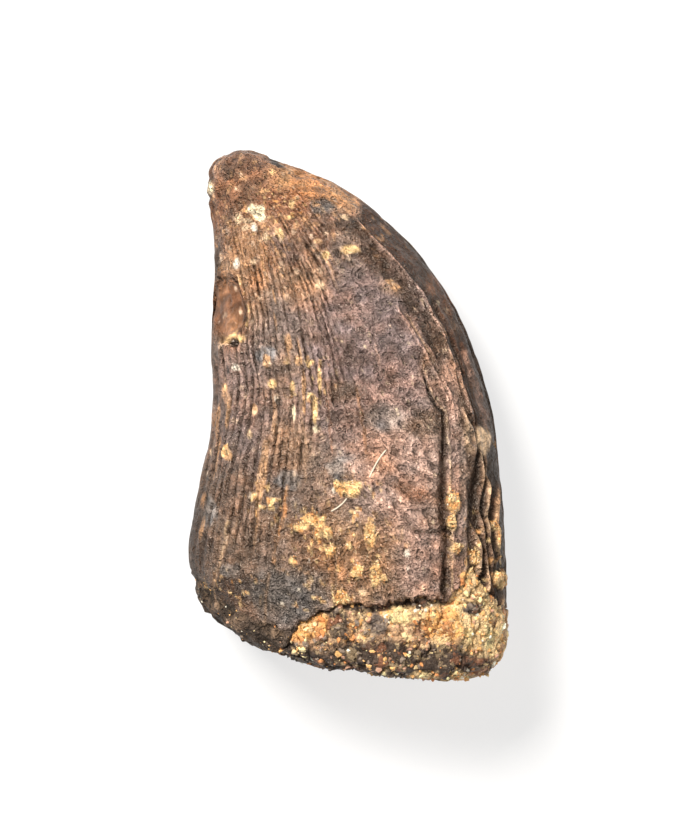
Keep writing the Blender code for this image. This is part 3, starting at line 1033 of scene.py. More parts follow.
# Streaks of colour, most of them beside the ridges and the plate: painted highlights along the crests and the
# plate's lip, and painted shade in the plate's groove and crack.
STROKES = (
    Stroke(Line(((1.6, 13.9), (3.4, 11.9), (5.2, 9.6), (6.7, 7.2), (7.6, 5.2))), 0.65, Stain.UMBER, 0.9),
    # Painted highlights along the crests of the carina and the two ridges beside it.
    Stroke(CARINA, 0.05, Stain.ROSE, 0.8),
    Stroke(SECOND_RIDGE, 0.1, Stain.ROSE, 0.7),
    Stroke(THIRD_RIDGE, 0.09, Stain.ROSE, 0.6),
    Stroke(Line(((10.2, 5.4), (10.75, 4.0), (11.5, 1.6), (12.0, -0.9))), 0.24, Stain.ROSE, 0.6),
    # Painted shade in the plate's crack.
    Stroke(PLATE_CRACK, 0.1, Stain.UMBER, 0.7),
    Stroke(BESIDE_PLATE, 0.42, Stain.ROSE, 0.9),
    # Painted shade in the plate's groove and along its shoulder, then a painted highlight on its lip.
    Stroke(PLATE_GROOVE, 0.36, Stain.UMBER, 0.9),
    Stroke(Line(((6.2, 3.6), (6.25, 3.43), (6.8, 1.5), (7.25, 0.7), (7.85, 0.2))), 0.13, Stain.SOOT, 1.0),
    Stroke(PLATE_LIP, 0.05, Stain.BUFF, 0.6),
    Stroke(Line(((-5.17, -6.06), (-5.51, -8.52), (-6.02, -10.64), (-6.36, -12.33))), 0.16, Stain.AMBER, 0.75),
    Stroke(Line(((-10.2, -8.9), (-10.45, -11.0), (-10.85, -12.8))), 0.11, Stain.BUFF, 0.7),
    # Painted highlight along the lower part of the plate's lip.
    Stroke(Line(((8.5, -3.9), (8.6, -8.0), (8.7, -12.3), (8.7, -15.0))), 0.09, Stain.BUFF, 0.7),
    Stroke(Line(((-1.8, 1.2), (-1.6, -1.4), (-1.3, -3.2))), 0.12, Stain.RUST, 0.5),
    Stroke(Line(((2.2, 6.31), (2.29, 5.3), (2.54, 4.28))), 0.12, Stain.ROSE, 0.8),
    Stroke(Line(((0.6, 2.0), (1.1, -0.47), (1.44, -3.18))), 0.12, Stain.TAN, 0.5),
)
# Spots on the darker front face.
FRONT_SPOTS = (
    Tint(Patch(7.4, 11.2, 0.7, 0.9), Stain.RUST, 0.55),
    Tint(Patch(8.5, 9.3, 0.6, 1.1), Stain.RUST, 0.4),
    Tint(Patch(9.3, 7.6, 0.4, 0.7), Stain.BROWN, 0.5),
    Tint(Patch(10.6, 1.9, 0.35, 1.5, -18), Stain.UMBER, 0.5),
)

# Small pale spots of sand and bare dentine.
PALE_SPOTS = tuple(
    Tint(Patch(x, y, wide, tall, *(turned or (0, 0.45))), Stain[name], 1)
    for name, x, y, wide, tall, *turned in (
        ("CREAM", -12.0, 19.35, 0.5, 0.6, 0, 0.2), ("CREAM", -7.71, 17.16, 0.56, 0.62),
        ("CREAM", -8.25, 17.5, 0.34, 0.34), ("CREAM", -7.45, 16.67, 0.38, 0.38),
        ("BUFF", -8.6, 16.4, 0.42, 0.28), ("BUFF", -9.41, 16.57, 0.3, 0.51),
        ("BUFF", -8.73, 15.81, 0.34, 0.25), ("CHALK", -8.05, 15.81, 0.25, 0.34),
        ("SAND", -4.83, 17.75, 0.21, 0.34), ("SAND", -5.76, 15.21, 0.25, 0.38),
        ("BUFF", -7.03, 14.96, 0.25, 0.51), ("SAND", 0, 13.94, 0.68, 0.42),
        ("SAND", -1.95, 13.43, 0.34, 0.34), ("AMBER", -2.63, 14.62, 0.34, 0.25),
        ("BUFF", -2.46, 10.97, 0.42, 0.42), ("CHALK", -9.58, 12.75, 0.25, 0.47),
        ("BUFF", -8.14, 12.92, 0.21, 0.25), ("SAND", -6.53, 20.55, 0.17, 0.25),
        ("BUFF", -0.34, 16.74, 0.34, 0.25), ("CHALK", -9.58, 3.94, 0.34, 0.25),
        ("SAND", -6.44, 2.58, 0.38, 0.38), ("AMBER", -6.86, 4.45, 0.34, 0.51),
        ("AMBER", -10.42, 2.25, 0.25, 0.34), ("SAND", -4.75, 2.33, 0.25, 0.51),
        ("CREAM", -4.66, 0.21, 0.15, 0.68), ("AMBER", -4.24, 4.45, 0.34, 0.42),
        ("AMBER", -3.47, 4.62, 0.17, 0.34), ("SAND", -2.88, 0.55, 0.22, 1.19),
        ("CREAM", -2.8, -1.23, 0.25, 0.25), ("SAND", -2.46, 2.92, 0.15, 1.1),
        ("AMBER", -3.81, 1.91, 0.14, 1.86), ("CHALK", -6.1, 1.31, 0.17, 0.25),
        ("AMBER", -8.05, 0.38, 0.25, 0.51), ("AMBER", -10.17, -3.43, 0.34, 0.42),
        ("BUFF", -8.39, -1.65, 0.25, 0.34), ("AMBER", 3.9, 10.72, 0.42, 0.25),
        ("AMBER", 3.47, 11.14, 0.34, 0.21), ("CHALK", -1.27, -6.23, 0.13, 0.34),
        ("BUFF", 1.1, -14.87, 0.34, 0.25), ("CHALK", 4.92, -12.75, 0.13, 0.13),
        ("CHALK", 4.83, -11.57, 0.25, 0.21), ("CHALK", -8.22, -6.82, 0.17, 0.17),
        ("BUFF", -11.61, -3.18, 0.17, 0.25), ("CHALK", -4.15, -14.7, 0.13, 0.13),
        ("CHALK", -5.59, -15.72, 0.13, 0.13), ("CHALK", -3.31, -12.33, 0.13, 0.13),
        ("BUFF", 11.6, -2.1, 0.62, 1.15, 12, 0.25),
    )
)


@dataclass(frozen=True)
class Specks:
    """Small pale specks strewn at random over a rectangle of the upper face, in millimetres."""

    low: tuple[float, float]
    high: tuple[float, float]
    count: int
    seed: int
    radius: float = 0.15
    drawn: float = 1.5

    def cover(self, x: Array, y: Array, rough: Array) -> Array:
        """The strongest of all the specks' ovals, each of its own size and strength.

        Args:
            x: Places across the face.
            y: Places along it.
            rough: Noise from -1 to 1 that makes the rims ragged.

        Returns:
            The cover at each place.
        """
        random = np.random.default_rng(self.seed)
        centres = random.uniform(self.low, self.high, (self.count, 2))
        sizes = self.radius * (0.6 + random.random(self.count) ** 2)
        cover = np.zeros(x.shape)
        for (middle_x, middle_y), size, strength in zip(centres, sizes, random.random(self.count)):
            away = np.hypot((x - middle_x) / size, (y - middle_y) / (size * self.drawn)) + 0.35 * rough
            cover = np.maximum(cover, (0.25 + 0.75 * strength**2) * (1 - ease(0.6, 1.3, away)))
        return cover


SPECKS = (
    Specks((-12.0, 11.0), (1.0, 22.0), 80, 3, 0.15),
    Specks((-12.0, -6.0), (-1.0, 11.0), 120, 5, 0.12),
    # The cream specks on the plate stand partly for painted glints.
    Specks((-1.0, -15.0), (9.0, 12.0), 90, 9, 0.09, 1.0),
    Specks((3.0, 0.0), (12.0, 16.0), 70, 15, 0.08, 1.4),
)


@dataclass(frozen=True)
class EnamelColours:
    """The enamel's colour at each place: broad patches, strokes and spots, then painted shade, painted
    highlights and wear.
    """

    gain: float = 0.72
    contrast: float = 1.3
    # How deep a hollow must be for the full painted shade, and how high a crest for the full painted
    # highlight, in millimetres.
    full_hollow: float = 0.11
    full_crest: float = 0.09
    tan: Rgb = srgb(222, 170, 122)
    cream: Rgb = srgb(244, 218, 178)
    buff: Rgb = srgb(222, 190, 160)
    ground: Rgb = srgb(150, 124, 108)
    front: Rgb = srgb(72, 45, 30)
    ribs: Rgb = srgb(112, 84, 64)
    # The colour of the painted shade in the ribs' valleys.
    rib_valley_shade: Rgb = srgb(66, 50, 40)
    # The colour of the painted highlight on the ribs' crests.
    rib_crest_highlight: Rgb = srgb(222, 184, 150)
    # The colour of the painted shade in the hollows.
    hollow_shade: Rgb = srgb(58, 44, 35)
    mottle: Rgb = srgb(84, 66, 58)
    hidden_dark: Rgb = srgb(106, 86, 74)
    hidden_light: Rgb = srgb(166, 136, 116)
    hidden_warm: Rgb = srgb(188, 142, 104)
    dentine: Rgb = srgb(52, 42, 34)
    dentine_light: Rgb = srgb(92, 74, 58)
    dentine_rust: Rgb = srgb(132, 92, 62)
    ochre_light: Rgb = srgb(246, 208, 148)
    ochre_deep: Rgb = srgb(214, 148, 86)
    scoop_light: Rgb = srgb(146, 104, 74)
    scoop_deep: Rgb = srgb(98, 66, 47)
    # The scoop's pale rim, partly a painted highlight.
    scoop_rim_and_highlight: Rgb = srgb(240, 196, 138)
    # The colour of the painted shade in the scoop's pit.
    pit_shade: Rgb = srgb(36, 28, 24)
    crack: Rgb = srgb(196, 160, 130)

    def upper(self, form: Surface, relief: Relief) -> Array:
        """The painted upper face: each patch is blended over what lies under it.

        Args:
            form: The bare surface.
            relief: The marks on it.

        Returns:
            The colour at each place.
        """
        x, y = form.x, form.y
        coarse, fine = form.rubble(2.4, 101), form.rubble(0.7, 102)
        colour = np.broadcast_to(self.ground, (*x.shape, 3)).copy()
        for tint in BROAD:
            rough, soft = (coarse, 0.9) if tint.where.is_broad() else (fine, 0.5)
            colour = tint.laid_over(colour, form, 1.4 * rough + 0.5 * fine, soft)
        ribs = window(0.76, 1.2, 0.04, form.c) * (1 - ease(-1.0, 1.5, y))
        colour = lay(colour, self.ribs, 0.75 * ribs)
        crest, shown = relief.ribs(form)
        # Painted shade in the ribs' valleys, and painted highlights on their crests.
        colour = lay(colour, self.rib_valley_shade, 0.9 * (1 - ease(0.05, 0.72, crest)) * shown)
        bare = 0.5 + 0.45 * ease(-0.3, 0.3, form.lumps(0.8, 135))
        colour = lay(colour, self.rib_crest_highlight, bare * ease(0.74, 1.0, crest) * shown)
        front = ease(0.05, 0.5, x - CARINA.x_at(y)) * ease(-1.5, -0.3, y)
        colour = lay(colour, self.front, 0.95 * front)
        unbroken = 0.35 + 0.65 * ease(-0.4, 0.15, form.lumps(0.7, 119))
        for stroke in STROKES:
            away = stroke.line.distance(x + 0.25 * fine, y) / stroke.width + 0.3 * fine
            share = (1 - ease(0.6, 1.4, away)) * stroke.strength * unbroken
            colour = lay(colour, stroke.colour.value, share * ease(0.0, 0.3, form.normal[..., 2]))
        for tint in FRONT_SPOTS:
            colour = tint.laid_over(colour, form, fine, 0.9)
        return colour

    def hidden(self, form: Surface) -> Array:
        """The sides that nobody has cleaned: broad clouds of the same browns.

        Args:
            form: The bare surface.

        Returns:
            The colour at each place.
        """
        broad = 0.5 + 0.5 * form.rubble(7.0, 111)
        warm = ease(0.15, 0.6, form.rubble(4.0, 112))
        colour = lay(np.array(self.hidden_dark), self.hidden_light, broad)
        colour = lay(colour, self.hidden_warm, 0.6 * warm)
        front = ease(0.2, 0.75, form.c + 0.2 * warm) * (1 - ease(0.86, 0.95, form.t))
        return lay(colour, Stain.UMBER.value, 0.75 * front)

    def clouded(self, form: Surface, colour: Array) -> Array:
        """Warm stains and dark mottles over the paint, and painted shade that darkens the lower back and
        front.

        Args:
            form: The bare surface.
            colour: The colour so far.

        Returns:
            The colour at each place.
        """
        stain = (0.7 * form.rubble(3.2, 108) + 0.5 * form.lumps(0.9, 109))[..., None]
        colour = colour * (1 + np.clip(stain, -0.35, 1) * np.array([0.24, 0.03, -0.16]))
        colour = lay(colour, self.mottle, 0.45 * ease(0.2, 0.6, form.rubble(2.6, 120)))
        colour = lay(colour, self.mottle, 0.3 * ease(0.2, 0.6, form.rubble(1.1, 127)))
        # Painted shade: darker towards the lower back edge and over the lower front.
        back = ease(0.0, 5.0, -1.0 - form.x - 0.2 * form.y) * (1 - ease(-2.0, 6.0, form.y))
        front = 0.9 * ease(-8.0, -11.0, form.y) * ease(3.0, 6.0, form.x)
        return colour * (1 - 0.16 * np.clip(back + front, 0, 1)[..., None])

    def grown(self, form: Surface, relief: Relief, colour: Array) -> Array:
        """Flecks, tan streaks between the growth grooves, and tan knobs towards the tip.

        Args:
            form: The bare surface.
            relief: The marks on it.
            colour: The colour so far.

        Returns:
            The colour at each place.
        """
        fleck = ease(0.42, 0.8, form.grown(0.3, 0.5, 105))
        colour = lay(colour, colour * 1.5 + 0.03, 0.4 * fleck)
        streak = ease(0.3, 0.62, form.grown(0.4, 2.4, 113)) * ease(-0.1, 0.4, form.grown(2.5, 6.0, 114))
        colour = lay(colour, self.tan, 0.75 * streak * relief.ridged(form))
        knob = ease(0.35, 0.6, form.lumps(0.42, 115)) * ease(0.6, 0.76, form.t)
        return lay(colour, self.tan, 0.65 * knob)

    def scooped(self, form: Surface, colour: Array, up: Array) -> Array:
        """The scoop's smooth dentine, the pale rim beside it, which is partly a painted highlight, and
        painted shade in its pit.

        Args:
            form: The bare surface.
            colour: The colour so far.
            up: 1 where the skin faces up, and 0 elsewhere.

        Returns:
            The colour at each place.
        """
        rough = form.lumps(0.9, 81)
        worn = lay(np.array(self.scoop_deep), self.scoop_light, ease(-0.5, 0.5, form.rubble(1.9, 118)))
        colour = lay(colour, worn, SCOOP.cover(form.x, form.y, rough, 0.4) * up)
        # The pale rim is laid only on its right side, which faces the light: partly a painted highlight.
        rim = window(0.05, 0.62, 0.12, SCOOP.cover(form.x, form.y, rough, 0.8))
        rim = rim * ease(-10.6, -9.4, form.x - 0.3 * (form.y - SCOOP.y + 0.1))
        rim = rim * ease(-0.35, 0.1, form.lumps(0.7, 128))
        colour = lay(colour, self.scoop_rim_and_highlight, 0.85 * rim * up)
        # Painted shade: the pit is laid nearly black.
        return lay(colour, self.pit_shade, SCOOP_PIT.cover(form.x, form.y, soft=0.7) * up)

    def base(self, form: Surface, colour: Array, bare: Array, light: Array) -> Array:
        """The bare dentine at the base, clouded, rusty low down, and lit by a painted highlight on its
        crests.

        Args:
            form: The bare surface.
            colour: The colour so far.
            bare: Where the enamel is gone, from 0 to 1.
            light: How bright each place is: a painted highlight on the crests, varied by the speckle.

        Returns:
            The colour at each place.
        """
        clouded = ease(0.0, 0.5, form.rubble(1.6, 133))
        rough = lay(np.array(self.dentine), self.dentine_light, clouded)
        rusted = ease(0.0, 0.45, form.rubble(2.6, 137)) * (1 - ease(6.0, 10.0, form.z))
        rough = lay(rough, self.dentine_rust, 0.7 * rusted)
        return lay(colour, rough * light[..., None], 0.9 * bare)

    def spots(self, form: Surface, colour: Array) -> Array:
        """The small pale spots of sand and bare dentine.

        Args:
            form: The bare surface.
            colour: The colour so far.

        Returns:
            The colour at each place.
        """
        rough = 0.9 * form.rubble(0.45, 103)
        light = (0.5 + 0.5 * form.lumps(0.28, 107))[..., None]
        for tint in PALE_SPOTS:
            share = tint.where.cover(form.x, form.y, rough, 0.45) * tint.strength
            paint = np.array(tint.colour.value)
            colour = lay(colour, mix(0.7 * paint, mix(paint, np.array(self.cream), 0.3), light), share)
        return colour

    def sanded(self, form: Surface, relief: Relief, colour: Array, speck: Array) -> Array:
        """The cemented ochre sand, and the dust of it round about.

        Args:
            form: The bare surface.
            relief: The marks on it.
            colour: The colour so far.
            speck: The finest noise, from -1 to 1.

        Returns:
            The colour at each place.
        """
        grit = 0.5 + 0.5 * form.lumps(0.24, 116)
        sand = lay(np.array(self.ochre_deep), self.ochre_light, ease(0.2, 0.7, grit))
        sand = sand * (0.55 + 0.45 * ease(-0.6, 0.1, speck))[..., None]
        colour = lay(colour, sand, relief.ochre(form))
        return lay(colour, sand, 0.85 * relief.dusted(form) * ease(0.38, 0.6, form.lumps(0.34, 117)))

    def colour(self, form: Surface, relief: Relief, height: Array) -> Array:
        """The whole colour: the paint, then painted shade in the hollows, painted highlights on the crests,
        ochre sand, dentine and painted shade at the outline.

        Args:
            form: The bare surface.
            relief: The marks on it.
            height: The marks' height.

        Returns:
            The colour at each place.
        """
        up = ease(-0.35, 0.15, form.normal[..., 2])
        colour = lay(self.hidden(form), self.upper(form, relief), up)
        colour = np.array(self.ground) * (colour / np.array(self.ground)) ** self.contrast
        colour = self.grown(form, relief, self.clouded(form, colour))
        # Painted shade and highlights: the relief's hollows are darkened and its crests lightened.
        hollow = height - blurred(height, 2, 5)
        speck = form.lumps(0.33, 104)
        depth = np.clip(-hollow / self.full_hollow, 0, 1) * (0.75 + 0.25 * speck)
        colour = lay(colour, self.hollow_shade, 0.8 * depth)
        crest = np.clip(hollow / self.full_crest, 0, 1)
        colour = colour * (1 + 0.38 * crest[..., None]) * self.gain
        colour = self.scooped(form, colour, up)
        colour = self.base(form, colour, relief.bare(form), 1 + 0.7 * speck + 0.9 * crest)
        # Painted shade: the colour darkens towards the outline, more weakly on the upper front edge.
        edge = ease(0.86, 1.0, np.abs(form.c)) * np.where((form.c > 0) & (form.y > -2), 0.35, 1.0)
        colour = colour * (1 - np.array([0.42, 0.5, 0.58]) * edge[..., None])
        up = ease(-0.05, 0.3, form.normal[..., 2])
        colour = lay(colour, self.spots(form, colour), up)
        # The third set of specks, in cream, is partly painted glints.
        for specks, paint in zip(SPECKS, (self.buff, self.buff, self.cream, self.buff)):
            colour = lay(colour, paint, 0.75 * specks.cover(form.x, form.y, speck) * up)
        colour = self.sanded(form, relief, colour, speck)
        return lay(colour, self.crack, 0.45 * relief.hairlines(form))


class Zone(IntEnum):
    """The kinds of sand in the sandstone."""

    BRIGHT = 0
    MIXED = 1
    DARK = 2
    ORANGE = 3
    GREY = 4


# The sandstone's named zones, each laid over those before it. All the rest is mixed sand. The two thin dark
# zones along the break are painted shadow under the enamel's edge.
SAND_PATCHES = (
    (Zone.BRIGHT, Patch(10.4, -17.4, 4.4, 3.0)),
    (Zone.BRIGHT, Patch(10.6, -13.6, 1.2, 2.4)),
    (Zone.ORANGE, Patch(7.6, -17.4, 1.8, 1.5)),
    (Zone.BRIGHT, Patch(4.4, -16.6, 1.6, 0.9)),
    (Zone.DARK, Patch(3.4, -21.0, 8.0, 2.1, -2)),
    (Zone.DARK, Patch(-5.0, -21.0, 3.6, 1.6, -25)),
    (Zone.DARK, Patch(-9.5, -18.0, 5.0, 2.6, -35)),
    (Zone.DARK, Patch(-2.6, -16.75, 2.3, 0.5, 28, 0.2)),
    (Zone.ORANGE, Patch(-3.2, -17.85, 1.8, 0.95, 22, 0.3)),
    (Zone.DARK, Patch(-4.6, -20.4, 3.0, 1.2, -20, 0.3)),
    (Zone.DARK, Patch(-0.9, -17.6, 0.85, 1.5, 0, 0.2)),
    (Zone.GREY, Patch(2.3, -17.6, 0.75, 0.9)),
    # Painted shadow under the enamel's edge, along the break.
    (Zone.DARK, Patch(1.6, -16.1, 2.2, 0.45)),
    (Zone.DARK, Patch(5.2, -15.7, 3.0, 0.42)),
    (Zone.GREY, Patch(10.4, -16.3, 0.95, 0.5, 0, 0.15)),
    (Zone.BRIGHT, Patch(6.3, -22.0, 1.4, 0.5)),
    (Zone.BRIGHT, Patch(9.3, -22.1, 0.9, 0.5)),
)


@dataclass(frozen=True)
class SandColours:
    """The sandstone's grains: a palette, and how likely each of its colours is in each zone."""

    palette: tuple[Rgb, ...] = (
        srgb(248, 216, 160),
        srgb(234, 180, 114),
        srgb(218, 146, 88),
        srgb(202, 156, 128),
        srgb(138, 120, 104),
        srgb(74, 58, 45),
        srgb(244, 234, 212),
    )
    bright: tuple[float, ...] = (0.34, 0.36, 0.16, 0.07, 0.02, 0.0, 0.05)
    mixed: tuple[float, ...] = (0.15, 0.18, 0.16, 0.17, 0.16, 0.13, 0.05)
    dark: tuple[float, ...] = (0.1, 0.12, 0.06, 0.06, 0.2, 0.44, 0.02)
    orange: tuple[float, ...] = (0.06, 0.54, 0.36, 0.01, 0.01, 0.02, 0.0)
    grey: tuple[float, ...] = (0.02, 0.04, 0.02, 0.06, 0.66, 0.18, 0.02)

    beds: tuple[Rgb, ...] = (
        srgb(246, 206, 148),
        srgb(206, 164, 124),
        srgb(76, 60, 48),
        srgb(238, 172, 102),
        srgb(112, 98, 88),
    )

    def zones(self, points: Array) -> Array:
        """The share of each zone at each place: mixed sand, with patches of the others laid over it.

        Args:
            points: Places, with x, y and z last.

        Returns:
            The shares, in the order of Zone, for each place.
        """
        x, y, z = points[..., 0], points[..., 1], points[..., 2]
        rough = rubble(points, 1.6, 121)
        share = np.zeros((*x.shape, len(Zone)))
        stray = 4.5 * (1 - ease(5.0, 12.5, z))
        x, y = x + stray * lumps(points, 2.6, 129), y + stray * lumps(points, 2.6, 130)
        share[..., Zone.MIXED] = 1.0
        cloud = 0.7 * ease(0.0, 0.4, rubble(points, 5.0, 123))
        high = ease(4.0, 8.5, z + 3.5 * rubble(points, 1.8, 138))
        left = 1 - 0.75 * ease(6.0, 9.0, x)
        covers = [
            (Zone.BRIGHT, cloud),
            (Zone.ORANGE, 0.8 * ease(0.15, 0.4, rubble(points, 2.2, 124))),
            (Zone.GREY, 0.75 * left * ease(0.2, 0.4, rubble(points, 1.7, 125))),
            (Zone.DARK, 0.7 * left * ease(0.25, 0.45, rubble(points, 1.5, 126))),
        ]
        covers += [(zone, patch.cover(x, y, rough, 0.4) * high) for zone, patch in SAND_PATCHES]
        for zone, cover in covers:
            share = share * (1 - cover[..., None])
            share[..., zone] += cover
        return share

    def odds(self, points: Array) -> Array:
        """How likely each colour of the palette is at each place: the zones' odds, mixed."""
        return self.zones(points) @ np.array([self.bright, self.mixed, self.dark, self.orange, self.grey])

    def pick(self, odds: Array, chance: Array) -> Array:
        """One colour of the palette for each chance from 0 to 1: the odds are summed up to it.

        Args:
            odds: How likely each colour is.
            chance: Values from 0 to 1.

        Returns:
            The colour for each chance.
        """
        steps = np.cumsum(odds, axis=-1)
        picked = (chance[..., None] > steps / steps[..., -1:]).sum(axis=-1)
        return np.array(self.palette)[np.clip(picked, 0, len(self.palette) - 1)]

    def ground(self, points: Array) -> Array:
        """The cement between the grains: each zone's own bed, clouded."""
        cloud = 1.0 + 0.35 * rubble(points, 0.9, 122)
        return np.clip(self.zones(points) @ np.array(self.beds) * cloud[..., None], 0, 0.9)


class Slot(Enum):
    """The record's material slots."""

    ENAMEL = "fossil_enamel"
    SAND = "sandstone"


class Nodes:
    """A small helper that lays out one material's nodes."""

    def __init__(self, name: str) -> None:
        """Starts a material that has only its shader and output.

        Args:
            name: The material's name.
        """
        self.material = bpy.data.materials.new(name)
        self.material.use_nodes = True
        self.tree = self.material.node_tree
        self.shader = self.tree.nodes["Principled BSDF"]
        self.place = self.tree.nodes.new("ShaderNodeTexCoord").outputs["Object"]

    def add(self, kind: str, inputs: Inputs, **settings: str | bool) -> bpy.types.Node:
        """A node with its settings, and with each input linked to a socket or set to a plain value.

        Args:
            kind: The node's type, after ShaderNode.
            inputs: A socket or a value for each input.
            **settings: The node's own settings.

        Returns:
            The node.
        """
        node = self.tree.nodes.new(f"ShaderNode{kind}")
        for key, setting in settings.items():
            setattr(node, key, setting)
        for key, value in inputs.items():
            if isinstance(value, Socket):
                self.tree.links.new(value, node.inputs[key])
            else:
                node.inputs[key].default_value = value
        return node

    def attribute(self, name: str, socket: str = "Color") -> Socket:
        """A named attribute of the mesh."""
        return self.add("Attribute", {}, attribute_name=name).outputs[socket]

    def noise(
        self,
        scale: float,
        detail: float,
        rough: float = 0.6,
        vector: Socket | None = None,
        curl: float = 0.0,
    ) -> Socket:
        """Fractal noise, by default on Object coordinates, whose lumps are 1/scale metres across.

        Args:
            scale: Lumps to a metre, or to a unit of the vector.
            detail: How many finer layers it has.
            rough: How strong the finer layers are.
            vector: The place it reads, if it isn't the Object coordinates.
            curl: How far the lumps are twisted out of shape.

        Returns:
            The noise's value, about 0.5 on average.
        """
        inputs = {"Vector": vector or self.place, "Scale": scale, "Detail": detail}
        inputs |= {"Roughness": rough, "Distortion": curl}
        return self.add("TexNoise", inputs).outputs["Fac"]

    def noise_colour(self, scale: float, detail: float) -> Socket:
        """Three unlike fractal noises at once, on Object coordinates."""
        inputs = {"Vector": self.place, "Scale": scale, "Detail": detail}
        return self.add("TexNoise", inputs).outputs["Color"]

    def crests(self, scale: float, detail: float, vector: Socket) -> Socket:
        """Ridged fractal noise: sharp crests between round valleys, from about 0.3 to 1.8."""
        inputs = {"Vector": vector, "Scale": scale, "Detail": detail, "Offset": 1.0, "Gain": 2.0}
        return self.add("TexNoise", inputs, noise_type="RIDGED_MULTIFRACTAL").outputs["Fac"]

    def shifted(self, noise: Socket, far: float) -> Socket:
        """Object coordinates pushed about by a noise: the place plus far times the noise."""
        inputs = {0: noise, 1: (far, far, far), 2: self.place}
        return self.add("VectorMath", inputs, operation="MULTIPLY_ADD").outputs[0]

    def cells(self, scale: float, vector: Socket) -> tuple[Socket, Socket]:
        """Packed cells, 1/scale metres across: the way in from each one's border, and its own shade.

        Args:
            scale: Cells to a metre.
            vector: The place they read.

        Returns:
            The way in from the border, and the shade.
        """
        inputs = {"Vector": vector, "Scale": scale}
        border = self.add("TexVoronoi", inputs, feature="DISTANCE_TO_EDGE").outputs["Distance"]
        inside = self.add("TexVoronoi", inputs).outputs["Color"]
        return border, self.add("SeparateColor", {0: inside}).outputs[0]

    def spread(self, value: Socket, low: float, high: float, start: float, end: float) -> Socket:
        """A value from low to high, carried to the range from start to end and held there."""
        limits = {"From Min": low, "From Max": high, "To Min": start, "To Max": end}
        return self.add("MapRange", {"Value": value, **limits}, clamp=True).outputs["Result"]

    def sum(self, first: Socket, second: Socket | float, operation: str = "ADD") -> Socket:
        """Two values added, or joined by another Math operation."""
        return self.add("Math", {0: first, 1: second}, operation=operation).outputs[0]

    def times(self, first: Socket, second: Socket | float) -> Socket:
        """Two values multiplied."""
        return self.sum(first, second, "MULTIPLY")

    def drawn(self, turn: float, stretch: float) -> Socket:
        """Object coordinates turned by some degrees about z, and drawn out along the turned x."""
        inputs = {"Vector": self.place, "Rotation": (0, 0, math.radians(turn)), "Scale": (stretch, 1, 1)}
        return self.add("Mapping", inputs, vector_type="TEXTURE").outputs["Vector"]

    def scaled(self, colour: Socket | Rgb, value: Socket) -> Socket:
        """A colour times a value."""
        return self.add("VectorMath", {0: colour, "Scale": value}, operation="SCALE").outputs[0]

    def over(self, share: Socket, under: Socket, colour: Rgb) -> Socket:
        """A plain colour laid over another by the share."""
        inputs = {"Factor": share, 6: under, 7: (*colour, 1)}
        return self.add("Mix", inputs, data_type="RGBA").outputs[2]

    def bump(self, height: Socket, distance: float, after: Socket | None = None) -> Socket:
        """Fine relief from a height, in metres for a height of 1."""
        before = {} if after is None else {"Normal": after}
        return self.add("Bump", {"Height": height, "Distance": distance, **before}).outputs["Normal"]

    def finish(self, colour: Socket, roughness: Socket, normal: Socket) -> bpy.types.Material:
        """Joins the three results to the shader.

        Args:
            colour: The base colour.
            roughness: The roughness.
            normal: The normal.

        Returns:
            The material.
        """
        for name, socket in (("Base Color", colour), ("Roughness", roughness), ("Normal", normal)):
            self.tree.links.new(socket, self.shader.inputs[name])
        return self.material


